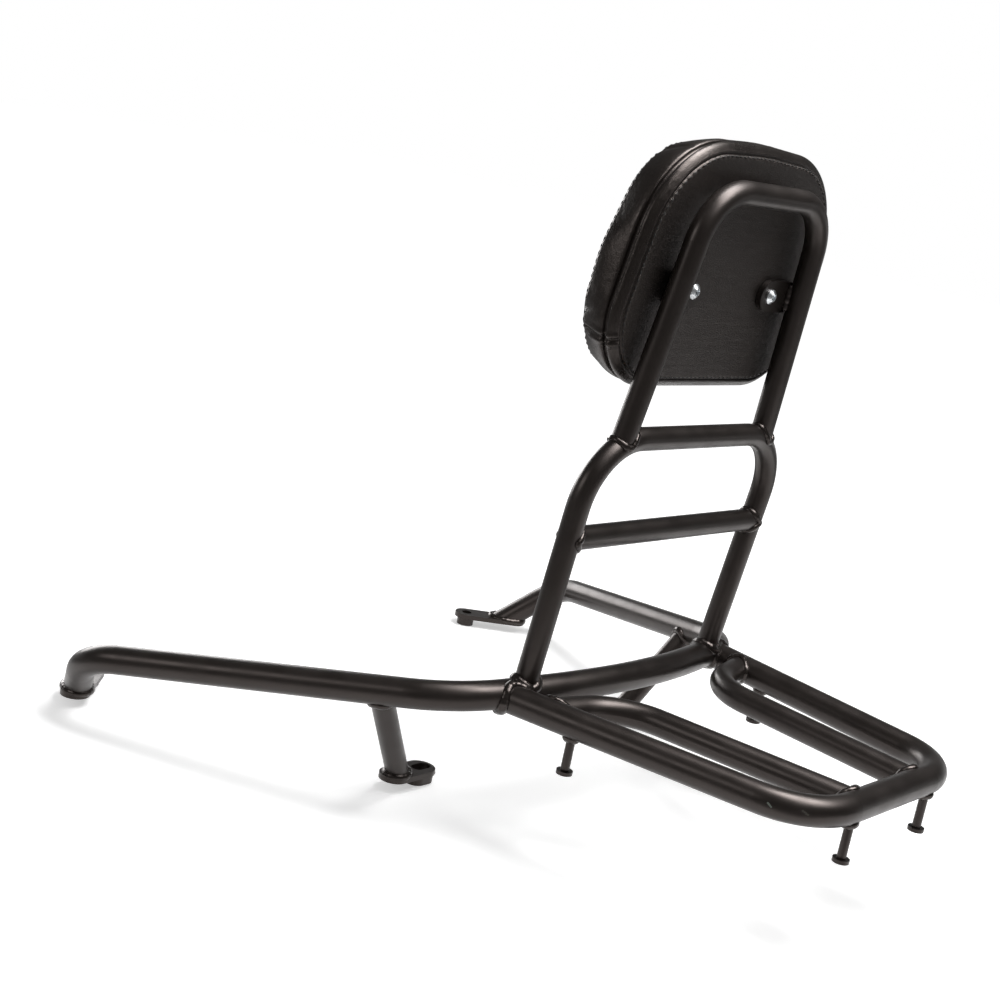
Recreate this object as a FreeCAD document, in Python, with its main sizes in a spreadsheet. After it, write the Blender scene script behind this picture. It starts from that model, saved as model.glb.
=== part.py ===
import FreeCAD, Part
import math
import os

import Sketcher
from FreeCAD import Placement, Rotation, Vector

# Scooter rear rack with backrest, in millimetres.
# X points to the rider's right, Y forwards and Z up.  The origin lies midway between the two
# rear mounting slots, on the plane that the four spacer bushes stand on.  The backrest line is
# the level line across the frame where the backrest's legs meet the bow tube.

X_AXIS = Vector(1, 0, 0)
Z_AXIS = Vector(0, 0, 1)

# Driving dimensions: alias, value, what it measures
SIZES = [
    ("tube_diameter", 20, "bow and rack loop, outside"),
    ("tube_wall", 2, "bow and rack loop"),
    ("inner_diameter", 18, "inner rack tubes, outside"),
    ("slim_diameter", 16, "backrest hoops, crossbar and struts, outside"),
    ("slim_wall", 1.5, "inner rack tubes, hoops, crossbar and struts"),
    ("rack_height", 98, "backrest line above the mounting plane"),
    ("rack_drop", 2, "rack tubes' axis below the backrest line"),
    ("backrest_setback", 78.5, "backrest line behind the rear mounting slots"),
    ("bow_pitch", 10.7, "fall of the bow's plane towards the front, degrees"),
    ("bow_middle_angle", 13, "set-back of each half of the bow's cross run, degrees"),
    ("bow_middle_radius", 410, "bend at the middle of the cross run"),
    ("bow_corner_half", 158, "bow's corner point from the middle"),
    ("bow_corner_radius", 72, "bend from cross run to arm"),
    ("bow_splay", 23.6, "each arm's splay, degrees"),
    ("bow_arm_reach", 260, "front point of the arms ahead of the backrest line"),
    ("bow_leg_radius", 42, "bend from arm to leg"),
    ("front_hole_half", 211, "front bolt holes from the middle"),
    ("front_hole_forward", 236, "front bolt holes ahead of the rear slots"),
    ("front_plate_angle", 40, "front plates' turn from the cross direction, degrees"),
    ("front_plate_length", 44, "between the plate's end centres"),
    ("front_leg_offset", 38, "leg's axis from the bolt hole, along the plate"),
    ("rear_slot_half", 101.5, "rear slots' centres from the middle"),
    ("rear_slot_length", 16, "rear slots, end to end"),
    ("rear_plate_length", 27, "between the plate's end centres"),
    ("plate_width", 21, "mounting plates"),
    ("plate_thickness", 4, "mounting plates"),
    ("bolt_hole", 9, "bolt holes' diameter and slots' width"),
    ("bush_height", 7, "spacer bushes under the plates"),
    ("bush_wall", 3, "spacer bushes round the bolt hole"),
    ("strut_forward", 61.5, "strut's start on the arm ahead of the backrest line"),
    ("strut_inset", 24, "strut's foot outside the rear slot's centre"),
    ("rail_start", 2, "rails' front ends behind the backrest line"),
    ("rack_half", 122, "rails from the middle at their front ends"),
    ("rack_taper", 8.6, "each rail's lean towards the middle, degrees"),
    ("rack_length", 218, "rear bar behind the backrest line"),
    ("rack_corner_radius", 45, "rack loop's rear bends"),
    ("inner_rear_half", 38.5, "inner tubes from the middle at the rear bar"),
    ("inner_splay", 5.7, "inner tubes' long runs, degrees outwards"),
    ("inner_front_rear", 28, "inner tubes' front ends behind the backrest line"),
    ("inner_front_angle", 13, "inner tubes' front runs, degrees forwards"),
    ("inner_bend_radius", 45, "inner tubes' bends"),
    ("peg_diameter", 6, "bungee pegs' rod"),
    ("peg_head_diameter", 11, "bungee pegs' head"),
    ("peg_head_height", 2.5, "bungee pegs' head"),
    ("peg_drop", 34.5, "bungee pegs' lowest point below the rack tubes' axis"),
    ("peg_front_rear", 50.5, "front pegs behind the backrest line"),
    ("peg_rear_half", 50, "rear pegs from the middle"),
    ("peg_rear_set", 3, "rear pegs behind the rear bar's axis"),
    ("backrest_lean", 6.4, "backrest's lean to the rear, degrees"),
    ("foot_half", 108, "lower hoop's feet from the middle"),
    ("lower_leg_lean", -1, "lower hoop's legs, degrees inwards"),
    ("lower_hoop_height", 179, "lower hoop's top bar above the backrest line"),
    ("lower_bend_radius", 46, "lower hoop's bends"),
    ("crossbar_height", 111, "crossbar above the backrest line"),
    ("upper_foot_half", 84, "upper hoop's feet from the middle"),
    ("upper_leg_lean", 5.2, "upper hoop's legs, degrees inwards"),
    ("upper_hoop_height", 347, "upper hoop's top bar above the backrest line"),
    ("upper_bend_radius", 38, "upper hoop's bends"),
    ("screw_half", 47, "pad screws from the middle"),
    ("screw_height", 278.5, "pad screws above the backrest line"),
    ("tab_width", 22, "pad tabs"),
    ("tab_thickness", 4, "pad tabs"),
    ("tab_front", 11, "tabs' front face ahead of the hoops' axis"),
    ("screw_diameter", 6, "pad screws' shank"),
    ("screw_length", 17, "pad screws under the head"),
    ("screw_head_diameter", 10.5, "pad screws' button head"),
    ("screw_head_height", 3.3, "pad screws' button head"),
    ("socket_width", 4, "hexagon socket across its flats"),
    ("socket_depth", 2, "hexagon socket"),
    ("screw_clearance", 0.3, "tab hole and nut bore round the screw, each side"),
    ("pad_half", 110.5, "pad from the middle at its widest"),
    ("pad_low", 211, "pad's low edge above the backrest line"),
    ("pad_top", 374, "pad's top edge above the backrest line"),
    ("pad_side_lean", 4.5, "pad's sides, degrees inwards"),
    ("pad_low_radius", 40, "pad's low corners"),
    ("pad_top_radius", 60, "pad's top corners"),
    ("pad_thickness", 38, "pad from its back to its front"),
    ("pad_back_round", 4, "pad's edge at the back"),
    ("pad_front_round", 19, "pad's edge at the front"),
    ("soft_gap", 0.3, "pad cover clear of the rigid pieces"),
    ("cover_depth", 2, "pad's back to the board"),
    ("board_thickness", 8, "backboard in the pad"),
    ("board_inset", 9, "backboard's edge inside the pad's edge"),
    ("nut_barrel_diameter", 8, "tee nuts' barrel"),
    ("nut_flange_diameter", 19, "tee nuts' flange"),
    ("nut_flange_height", 1.5, "tee nuts' flange"),
]

doc = FreeCAD.newDocument("scooter_rack")
sheet = doc.addObject("Spreadsheet::Sheet", "sizes")
for row, (alias, value, note) in enumerate(SIZES, start=1):
    sheet.set(f"A{row}", note)
    sheet.set(f"B{row}", str(value))
    sheet.setAlias(f"B{row}", alias)
doc.recompute()

subparts = []


def size(alias):
    """Value of one driving dimension."""
    return float(getattr(sheet, alias))


def tangent_of(alias):
    """Tangent of an angle that the sheet holds in degrees."""
    return math.tan(math.radians(size(alias)))


def keep(item, label):
    """Names a finished sub-part and lists it for export."""
    item.Label = label
    subparts.append(item)
    return item


def cut(base, *tools):
    """Cuts each tool out of the base in turn."""
    for tool in tools:
        step = doc.addObject("Part::Cut", base.Name + "_cut")
        step.Base = base
        step.Tool = tool
        base = step
    return base


def mirrored(item):
    """Left-hand copy of a right-hand piece."""
    copy = doc.addObject("Part::Mirroring", item.Name + "_left")
    copy.Source = item
    copy.Normal = X_AXIS
    return copy


def keep_pair(item, name):
    """Keeps a right-hand piece and its left-hand copy."""
    keep(item, "right_" + name)
    keep(mirrored(item), "left_" + name)


# Frames of the two main planes


def place_at_backrest(item, height, turn):
    """Puts an item above or below the backrest line, turned about X; expressions for both."""
    item.Placement = Placement(Vector(), Rotation(X_AXIS, 90))
    item.setExpression("Placement.Base.y", "-sizes.backrest_setback")
    item.setExpression("Placement.Base.z", height)
    item.setExpression("Placement.Rotation.Angle", turn)


def backrest_placement(x, forward, height, turn=Rotation()):
    """Placement in the leaning backrest frame: X across, forward of its plane, height up it."""
    base = Placement(
        Vector(0, -size("backrest_setback"), size("rack_height")),
        Rotation(X_AXIS, size("backrest_lean")),
    )
    return base.multiply(Placement(Vector(x, forward, height), turn))


def bow_point(x, forward):
    """Point of the bow's sloping plane, forward measured along the slope from the backrest line."""
    pitch = math.radians(size("bow_pitch"))
    return Vector(
        x,
        forward * math.cos(pitch) - size("backrest_setback"),
        size("rack_height") - forward * math.sin(pitch),
    )


def arm_half_width(forward):
    """Arm's axis from the middle at a distance ahead of the backrest line."""
    corner_forward = (size("bow_corner_half") - size("foot_half")) * tangent_of("bow_middle_angle")
    return size("bow_corner_half") + (forward - corner_forward) * tangent_of("bow_splay")


def rail_half_width(rearward):
    """Rail's axis from the middle at a distance behind the backrest line."""
    return size("rack_half") - (rearward - size("rail_start")) * tangent_of("rack_taper")


# Tube makers


def rod_along(path, edge_count, diameter):
    """Solid rod swept along a path; the diameter is an expression."""
    section = doc.addObject("Part::Circle", path.Name + "_section")
    section.setExpression("Radius", f"({diameter}) / 2")
    section.AttachmentSupport = [(path, "Edge1")]
    section.MapMode = "NormalToEdge"
    section.MapPathParameter = 0
    rod = doc.addObject("Part::Sweep", path.Name + "_rod")
    rod.Sections = [section]
    rod.Spine = (path, [f"Edge{number}" for number in range(1, edge_count + 1)])
    rod.Solid = True
    return rod


def bent_tube(path, edge_count, diameter, wall):
    """Solid outside and hollow tube along a path, from the sheet's diameter and wall."""
    outside = rod_along(path, edge_count, f"sizes.{diameter}")
    bore = rod_along(path, edge_count, f"sizes.{diameter} - 2 * sizes.{wall}")
    return outside, cut(outside, bore)


def straight_tube(name, start, end):
    """Slim hollow tube between two points."""
    along = end - start
    placement = Placement(start, Rotation(Z_AXIS, along))
    pieces = []
    for part_name, radius in (
        ("outside", "sizes.slim_diameter / 2"),
        ("bore", "sizes.slim_diameter / 2 - sizes.slim_wall"),
    ):
        rod = doc.addObject("Part::Cylinder", f"{name}_{part_name}")
        rod.setExpression("Radius", radius)
        rod.Height = along.Length
        rod.Placement = placement
        pieces.append(rod)
    return cut(*pieces)


def bent_wire(points, radii):
    """Straight runs between the points, with a tangent arc of each radius at the inner points."""
    edges = []
    start = points[0]
    for before, corner, after, radius in zip(points, points[1:], points[2:], radii):
        back = (before - corner).normalize()
        onward = (after - corner).normalize()
        half_turn = (math.pi - back.getAngle(onward)) / 2
        run = radius * math.tan(half_turn)
        depth = radius / math.cos(half_turn) - radius
        arc_start = corner + back * run
        arc_end = corner + onward * run
        arc_middle = corner + (back + onward).normalize() * depth
        edges.append(Part.LineSegment(start, arc_start).toShape())
        edges.append(Part.Arc(arc_start, arc_middle, arc_end).toShape())
        start = arc_end
    edges.append(Part.LineSegment(start, points[-1]).toShape())
    return Part.Wire(edges)


def bind(sketch, name, expression):
    """Names the sketch's last constraint and binds it to an expression."""
    sketch.renameConstraint(sketch.ConstraintCount - 1, name)
    sketch.setExpression(f"Constraints.{name}", expression)


def join_tangent(sketch, *ends):
    """Joins pairs of curve ends smoothly; each pair is curve, end, curve, end."""
    for first, first_end, second, second_end in ends:
        sketch.addConstraint(Sketcher.Constraint("Tangent", first, first_end, second, second_end))


def arc(centre_x, centre_y, radius, start, end):
    """Arc for a sketch, anticlockwise between two angles in degrees."""
    circle = Part.Circle(Vector(centre_x, centre_y, 0), Z_AXIS, radius)
    return Part.ArcOfCircle(circle, math.radians(start), math.radians(end))


def segment(first, second):
    """Line for a sketch between two points."""
    return Part.LineSegment(first, second)


def hoop_path(name, half, start, lean, reach, radius):
    """Sketch of a symmetric hoop: two leaning legs, two equal bends and a straight bar.

    The arguments are aliases; start is None where the legs begin on the sketch's X axis.
    """
    sketch = doc.addObject("Sketcher::SketchObject", name)
    low = size(start) if start else 0.0
    top, bend, angle = size(reach), size(radius), math.radians(size(lean))
    foot = Vector(size(half), low, 0)
    run = bend * (1 - math.sin(angle)) / math.cos(angle)
    corner = Vector(foot.x - (top - low) * math.tan(angle), top, 0)
    leg_end = corner - Vector(-math.sin(angle), math.cos(angle), 0) * run
    bar_end = corner - X_AXIS * run

    def flip(point):
        return Vector(-point.x, point.y, 0)

    sketch.addGeometry([
        segment(foot, leg_end),
        arc(bar_end.x, top - bend, bend, size(lean), 90),
        segment(bar_end, flip(bar_end)),
        arc(-bar_end.x, top - bend, bend, 90, 180 - size(lean)),
        segment(flip(leg_end), flip(foot)),
    ])
    join_tangent(sketch, (0, 2, 1, 1), (1, 2, 2, 1), (2, 2, 3, 1), (3, 2, 4, 1))
    sketch.addConstraint(Sketcher.Constraint("Symmetric", 2, 1, 2, 2, -2))
    sketch.addConstraint(Sketcher.Constraint("Symmetric", 0, 1, 4, 2, -2))
    sketch.addConstraint(Sketcher.Constraint("Equal", 1, 3))
    if start:
        sketch.addConstraint(Sketcher.Constraint("DistanceY", -1, 1, 0, 1, low))
        bind(sketch, "start", f"sizes.{start}")
    else:
        sketch.addConstraint(Sketcher.Constraint("PointOnObject", 0, 1, -1))
    sketch.addConstraint(Sketcher.Constraint("DistanceX", -1, 1, 0, 1, foot.x))
    bind(sketch, "half_width", f"sizes.{half}")
    sketch.addConstraint(Sketcher.Constraint("DistanceY", -1, 1, 2, 1, top))
    bind(sketch, "reach", f"sizes.{reach}")
    sketch.addConstraint(Sketcher.Constraint("Radius", 1, bend))
    bind(sketch, "bend_radius", f"sizes.{radius}")
    sketch.addConstraint(Sketcher.Constraint("Angle", 0, math.pi / 2 + angle))
    bind(sketch, "leg_angle", f"90 + sizes.{lean}")
    return sketch


HOOP_EDGES = 5


# Plate and turned-piece makers


def origin_plane(body, role):
    """Origin plane of a body, by its role."""
    return next(plane for plane in body.Origin.OriginFeatures if plane.Role == role)


def new_sketch(body, role, name="Profile"):
    """Sketch of a body on one of its origin planes."""
    sketch = body.newObject("Sketcher::SketchObject", f"{body.Name}_{name}")
    sketch.AttachmentSupport = [(origin_plane(body, role), "")]
    sketch.MapMode = "FlatFace"
    return sketch


def add_slot(sketch, start_x, length, width):
    """Slot outline along X, from its first end's centre; each size is a number and an expression."""
    (left, left_text), (long, long_text), (wide, wide_text) = start_x, length, width
    half = wide / 2
    first = sketch.GeometryCount
    sketch.addGeometry([
        segment(Vector(left, -half, 0), Vector(left + long, -half, 0)),
        arc(left + long, 0, half, -90, 90),
        segment(Vector(left + long, half, 0), Vector(left, half, 0)),
        arc(left, 0, half, 90, 270),
    ])
    low, far, high, near = range(first, first + 4)
    join_tangent(sketch, (low, 2, far, 1), (far, 2, high, 1), (high, 2, near, 1), (near, 2, low, 1))
    sketch.addConstraint(Sketcher.Constraint("PointOnObject", near, 3, -1))
    sketch.addConstraint(Sketcher.Constraint("Horizontal", low))
    if left_text:
        sketch.addConstraint(Sketcher.Constraint("DistanceX", -1, 1, near, 3, left))
        bind(sketch, f"start_{first}", left_text)
    else:
        sketch.addConstraint(Sketcher.Constraint("PointOnObject", near, 3, -2))
    sketch.addConstraint(Sketcher.Constraint("DistanceX", near, 3, far, 3, long))
    bind(sketch, f"length_{first}", long_text)
    sketch.addConstraint(Sketcher.Constraint("Radius", near, half))
    bind(sketch, f"radius_{first}", f"({wide_text}) / 2")


def add_circle(sketch, diameter, text):
    """Circle at the sketch's origin, its diameter a number and an expression."""
    number = sketch.addGeometry(Part.Circle(Vector(), Z_AXIS, diameter / 2))
    sketch.addConstraint(Sketcher.Constraint("Coincident", number, 3, -1, 1))
    sketch.addConstraint(Sketcher.Constraint("Diameter", number, diameter))
    bind(sketch, f"diameter_{number}", text)


def sized(alias):
    """A sheet value as the number and expression that the sketch makers take."""
    return size(alias), f"sizes.{alias}"


def pad_up(body, sketch, thickness, reverse=False):
    """Pads a sketch by a thickness expression."""
    pad = body.newObject("PartDesign::Pad", body.Name + "_pad")
    pad.Profile = sketch
    pad.setExpression("Length", thickness)
    pad.Reversed = reverse
    sketch.Visibility = False
    return pad


def turned(name, outline):
    """Body of revolution about its Z axis from (radius, height) points given as sized pairs.

    Each point is ((radius, expression), (height, expression)).
    """
    body = doc.addObject("PartDesign::Body", name)
    sketch = new_sketch(body, "XZ_Plane")
    spots = [Vector(radius[0], height[0], 0) for radius, height in outline]
    count = len(spots)
    for number in range(count):
        sketch.addGeometry(segment(spots[number], spots[(number + 1) % count]))
    for number in range(count):
        sketch.addConstraint(Sketcher.Constraint("Coincident", number, 2, (number + 1) % count, 1))
    for number, (radius, height) in enumerate(outline):
        for kind, axis, (value, text) in (("DistanceX", -2, radius), ("DistanceY", -1, height)):
            if text:
                sketch.addConstraint(Sketcher.Constraint(kind, -1, 1, number, 1, value))
                bind(sketch, f"{kind}_{number}", text)
            else:
                sketch.addConstraint(Sketcher.Constraint("PointOnObject", number, 1, axis))
    turn = body.newObject("PartDesign::Revolution", name + "_turned")
    turn.Profile = sketch
    turn.ReferenceAxis = (sketch, ["V_Axis"])
    turn.Angle = 360
    return body


ZERO = (0.0, "")


# Bow: one tube from foot to foot, round the back of the seat

plate_top = size("bush_height") + size("plate_thickness")
plate_turn = math.radians(size("front_plate_angle"))
front_hole = Vector(size("front_hole_half"), size("front_hole_forward"), plate_top)
leg_seat = front_hole + Vector(math.cos(plate_turn), -math.sin(plate_turn), 0) * size("front_leg_offset")

middle_set = size("foot_half") * tangent_of("bow_middle_angle")
corner_set = (size("bow_corner_half") - size("foot_half")) * tangent_of("bow_middle_angle")
arm_end = bow_point(arm_half_width(size("bow_arm_reach")), size("bow_arm_reach"))
leg_end = leg_seat + (leg_seat - arm_end).normalize() * size("tube_diameter")
right_half = [leg_end, arm_end, bow_point(size("bow_corner_half"), corner_set)]
left_half = [Vector(-spot.x, spot.y, spot.z) for spot in right_half]
bow_radii = [size("bow_leg_radius"), size("bow_corner_radius")]

bow_path = doc.addObject("Part::Feature", "bow_path")
bow_path.Shape = bent_wire(
    right_half + [bow_point(0, -middle_set)] + left_half[::-1],
    bow_radii + [size("bow_middle_radius")] + bow_radii[::-1],
)
bow_outside, bow_tube = bent_tube(bow_path, len(bow_path.Shape.Edges), "tube_diameter", "tube_wall")

# Everything below the plates' top faces is cut off the tubes that stand on them
below_plates = doc.addObject("Part::Box", "below_plates")
below_plates.setExpression("Length", "4 * sizes.front_hole_half")
below_plates.setExpression("Width", "4 * sizes.front_hole_forward")
below_plates.setExpression("Height", "sizes.bush_height + sizes.plate_thickness + sizes.rack_height")
below_plates.setExpression("Placement.Base.x", "-2 * sizes.front_hole_half")
below_plates.setExpression("Placement.Base.y", "-2 * sizes.front_hole_forward")
below_plates.setExpression("Placement.Base.z", "-sizes.rack_height")
keep(cut(bow_tube, below_plates), "bow_tube")

# Rack loop: two rails and the rear bar in one bent tube, its ends coped to the bow

RACK_PLANE = "sizes.rack_height - sizes.rack_drop"
rack_path = hoop_path("rack_path", "rack_half", "rail_start", "rack_taper", "rack_length", "rack_corner_radius")
place_at_backrest(rack_path, RACK_PLANE, "180")
rack_outside, rack_tube = bent_tube(rack_path, HOOP_EDGES, "tube_diameter", "tube_wall")
keep(cut(rack_tube, bow_outside), "rack_loop_tube")

# Inner rack tubes: from the rear bar forwards, then round to the rail

inner_path = doc.addObject("Sketcher::SketchObject", "inner_path")
place_at_backrest(inner_path, RACK_PLANE, "180")
rear_end = Vector(size("inner_rear_half"), size("rack_length"), 0)
front_end = Vector(rail_half_width(size("inner_front_rear")), size("inner_front_rear"), 0)
long_way = Vector(tangent_of("inner_splay"), -1, 0).normalize()
short_way = Vector(1, -tangent_of("inner_front_angle"), 0).normalize()
across = front_end - rear_end
spread = long_way.x * short_way.y - long_way.y * short_way.x
bend_point = rear_end + long_way * ((across.x * short_way.y - across.y * short_way.x) / spread)
bend_wire = bent_wire([rear_end, bend_point, front_end], [size("inner_bend_radius")])
bend_arc = bend_wire.Edges[1].Curve
bend_ends = [edge.Vertexes[-1].Point for edge in bend_wire.Edges]
bend_angles = [
    math.degrees(math.atan2(*((spot - bend_arc.Center)[axis] for axis in (1, 0)))) for spot in bend_ends[:2]
]
inner_path.addGeometry([
    segment(rear_end, bend_ends[0]),
    arc(bend_arc.Center.x, bend_arc.Center.y, size("inner_bend_radius"), *bend_angles),
    segment(bend_ends[1], front_end),
])
join_tangent(inner_path, (0, 2, 1, 1), (1, 2, 2, 1))
inner_path.addConstraint(Sketcher.Constraint("DistanceX", -1, 1, 0, 1, rear_end.x))
bind(inner_path, "rear_half", "sizes.inner_rear_half")
inner_path.addConstraint(Sketcher.Constraint("DistanceY", -1, 1, 0, 1, rear_end.y))
bind(inner_path, "rear_reach", "sizes.rack_length")
inner_path.addConstraint(Sketcher.Constraint("DistanceX", -1, 1, 2, 2, front_end.x))
bind(
    inner_path, "front_half",
    "sizes.rack_half - (sizes.inner_front_rear - sizes.rail_start) * tan(sizes.rack_taper * 1 deg)",
)
inner_path.addConstraint(Sketcher.Constraint("DistanceY", -1, 1, 2, 2, front_end.y))
bind(inner_path, "front_reach", "sizes.inner_front_rear")
inner_path.addConstraint(Sketcher.Constraint("Radius", 1, size("inner_bend_radius")))
bind(inner_path, "bend_radius", "sizes.inner_bend_radius")
inner_path.addConstraint(Sketcher.Constraint("Angle", 0, math.atan2(long_way.y, long_way.x)))
bind(inner_path, "long_angle", "sizes.inner_splay - 90")
inner_path.addConstraint(Sketcher.Constraint("Angle", 2, math.atan2(short_way.y, short_way.x)))
bind(inner_path, "short_angle", "-sizes.inner_front_angle")
inner_tube = bent_tube(inner_path, len(bend_wire.Edges), "inner_diameter", "slim_wall")[1]
keep_pair(cut(inner_tube, rack_outside), "inner_tube")

# Bungee pegs: turned rods with a flat head, standing under the rack loop

peg_radius = (size("peg_diameter") / 2, "sizes.peg_diameter / 2")
peg_head = (size("peg_head_diameter") / 2, "sizes.peg_head_diameter / 2")
peg_neck = (size("peg_head_height") - size("peg_drop"), "sizes.peg_head_height - sizes.peg_drop")
peg_foot = (-size("peg_drop"), "-sizes.peg_drop")
peg_outline = [
    (ZERO, ZERO), (ZERO, peg_foot), (peg_head, peg_foot),
    (peg_head, peg_neck), (peg_radius, peg_neck), (peg_radius, ZERO),
]
peg_spots = {
    "front": (rail_half_width(size("peg_front_rear")), size("peg_front_rear")),
    "rear": (size("peg_rear_half"), size("rack_length") + size("peg_rear_set")),
}
for place, (across_half, rearward) in peg_spots.items():
    peg = turned(f"{place}_peg", peg_outline)
    peg.Placement.Base = Vector(
        across_half, -size("backrest_setback") - rearward, size("rack_height") - size("rack_drop")
    )
    keep_pair(cut(peg, rack_outside), f"{place}_peg")

# Front feet: plates under the bow's legs, each with a round spacer bush

front_plate = doc.addObject("PartDesign::Body", "front_plate")
front_sketch = new_sketch(front_plate, "XY_Plane")
add_slot(front_sketch, ZERO, sized("front_plate_length"), sized("plate_width"))
add_circle(front_sketch, *sized("bolt_hole"))
pad_up(front_plate, front_sketch, "sizes.plate_thickness")
front_plate.Placement = Placement(
    Vector(front_hole.x, front_hole.y, size("bush_height")), Rotation(Z_AXIS, -size("front_plate_angle"))
)
keep_pair(front_plate, "front_plate")

front_bush = doc.addObject("PartDesign::Body", "front_bush")
bush_sketch = new_sketch(front_bush, "XY_Plane")
add_circle(bush_sketch, size("bolt_hole") + 2 * size("bush_wall"), "sizes.bolt_hole + 2 * sizes.bush_wall")
add_circle(bush_sketch, *sized("bolt_hole"))
pad_up(front_bush, bush_sketch, "sizes.bush_height")
front_bush.Placement.Base = Vector(front_hole.x, front_hole.y, 0)
keep_pair(front_bush, "front_bush")

# Rear feet: struts from the arms to slotted plates, each with an oblong spacer bush

slot_run = (size("rear_slot_length") - size("bolt_hole"), "sizes.rear_slot_length - sizes.bolt_hole")
slot_start = (-slot_run[0] / 2, "(sizes.bolt_hole - sizes.rear_slot_length) / 2")
rear_plate = doc.addObject("PartDesign::Body", "rear_plate")
rear_sketch = new_sketch(rear_plate, "XY_Plane")
add_slot(rear_sketch, ZERO, sized("rear_plate_length"), sized("plate_width"))
add_slot(rear_sketch, slot_start, slot_run, sized("bolt_hole"))
pad_up(rear_plate, rear_sketch, "sizes.plate_thickness")
rear_plate.Placement.Base = Vector(size("rear_slot_half"), 0, size("bush_height"))
keep_pair(rear_plate, "rear_plate")

rear_bush = doc.addObject("PartDesign::Body", "rear_bush")
oblong_sketch = new_sketch(rear_bush, "XY_Plane")
bush_width = (size("bolt_hole") + 2 * size("bush_wall"), "sizes.bolt_hole + 2 * sizes.bush_wall")
add_slot(oblong_sketch, slot_start, slot_run, bush_width)
add_slot(oblong_sketch, slot_start, slot_run, sized("bolt_hole"))
pad_up(rear_bush, oblong_sketch, "sizes.bush_height")
rear_bush.Placement.Base = Vector(size("rear_slot_half"), 0, 0)
keep_pair(rear_bush, "rear_bush")

strut_top = bow_point(arm_half_width(size("strut_forward")), size("strut_forward"))
strut_seat = Vector(size("rear_slot_half") + size("strut_inset"), 0, plate_top)
strut_end = strut_seat + (strut_seat - strut_top).normalize() * size("slim_diameter")
strut = straight_tube("strut", strut_top, strut_end)
keep_pair(cut(strut, bow_outside, below_plates), "strut")

# Backrest: lower hoop on the bow, crossbar between its legs, upper hoop on its top bar

lower_path = hoop_path(
    "lower_path", "foot_half", None, "lower_leg_lean", "lower_hoop_height", "lower_bend_radius"
)
place_at_backrest(lower_path, "sizes.rack_height", "90 + sizes.backrest_lean")
lower_outside, lower_tube = bent_tube(lower_path, HOOP_EDGES, "slim_diameter", "slim_wall")
keep(cut(lower_tube, bow_outside, rack_outside), "lower_hoop")

crossbar_half = size("foot_half") - size("crossbar_height") * tangent_of("lower_leg_lean")
crossbar_ends = [
    backrest_placement(side * crossbar_half, 0, size("crossbar_height")).Base for side in (-1, 1)
]
crossbar = straight_tube("crossbar", *crossbar_ends)
keep(cut(crossbar, lower_outside), "crossbar")

upper_path = hoop_path(
    "upper_path", "upper_foot_half", "lower_hoop_height", "upper_leg_lean", "upper_hoop_height",
    "upper_bend_radius",
)
place_at_backrest(upper_path, "sizes.rack_height", "90 + sizes.backrest_lean")
upper_outside, upper_tube = bent_tube(upper_path, HOOP_EDGES, "slim_diameter", "slim_wall")
keep(cut(upper_tube, lower_outside), "upper_hoop")

# Pad tabs: round-ended plates welded to the upper hoop's legs, drilled for the pad screws

leg_half = size("upper_foot_half") - (size("screw_height") - size("lower_hoop_height")) * tangent_of(
    "upper_leg_lean"
)
tab = doc.addObject("PartDesign::Body", "pad_tab")
tab_sketch = new_sketch(tab, "XZ_Plane")
tab_reach = leg_half - size("screw_half") - size("slim_diameter") / 4
half_tab = size("tab_width") / 2
tab_sketch.addGeometry([
    segment(Vector(0, -half_tab, 0), Vector(tab_reach, -half_tab, 0)),
    segment(Vector(tab_reach, -half_tab, 0), Vector(tab_reach, half_tab, 0)),
    segment(Vector(tab_reach, half_tab, 0), Vector(0, half_tab, 0)),
    arc(0, 0, half_tab, 90, 270),
])
join_tangent(tab_sketch, (2, 2, 3, 1), (3, 2, 0, 1))
for first, second in ((0, 1), (1, 2)):
    tab_sketch.addConstraint(Sketcher.Constraint("Coincident", first, 2, second, 1))
tab_sketch.addConstraint(Sketcher.Constraint("Coincident", 3, 3, -1, 1))
tab_sketch.addConstraint(Sketcher.Constraint("Vertical", 1))
tab_sketch.addConstraint(Sketcher.Constraint("Horizontal", 0))
tab_sketch.addConstraint(Sketcher.Constraint("Radius", 3, half_tab))
bind(tab_sketch, "end_radius", "sizes.tab_width / 2")
tab_sketch.addConstraint(Sketcher.Constraint("DistanceX", -1, 1, 1, 1, tab_reach))
bind(
    tab_sketch, "reach",
    "sizes.upper_foot_half - (sizes.screw_height - sizes.lower_hoop_height)"
    " * tan(sizes.upper_leg_lean * 1 deg) - sizes.screw_half - sizes.slim_diameter / 4",
)
screw_hole = (
    size("screw_diameter") + 2 * size("screw_clearance"),
    "sizes.screw_diameter + 2 * sizes.screw_clearance",
)
add_circle(tab_sketch, *screw_hole)
pad_up(tab, tab_sketch, "sizes.tab_thickness")
tab.Placement = backrest_placement(size("screw_half"), size("tab_front"), size("screw_height"))
keep_pair(cut(tab, upper_outside), "pad_tab")

# Pad: a cushion round a backboard, with tee nuts that take the two screws

SIDES = (1, -1)
pad_back = size("tab_front") + size("soft_gap")
board_back = pad_back + size("cover_depth")
board_front = board_back + size("board_thickness")


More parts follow.
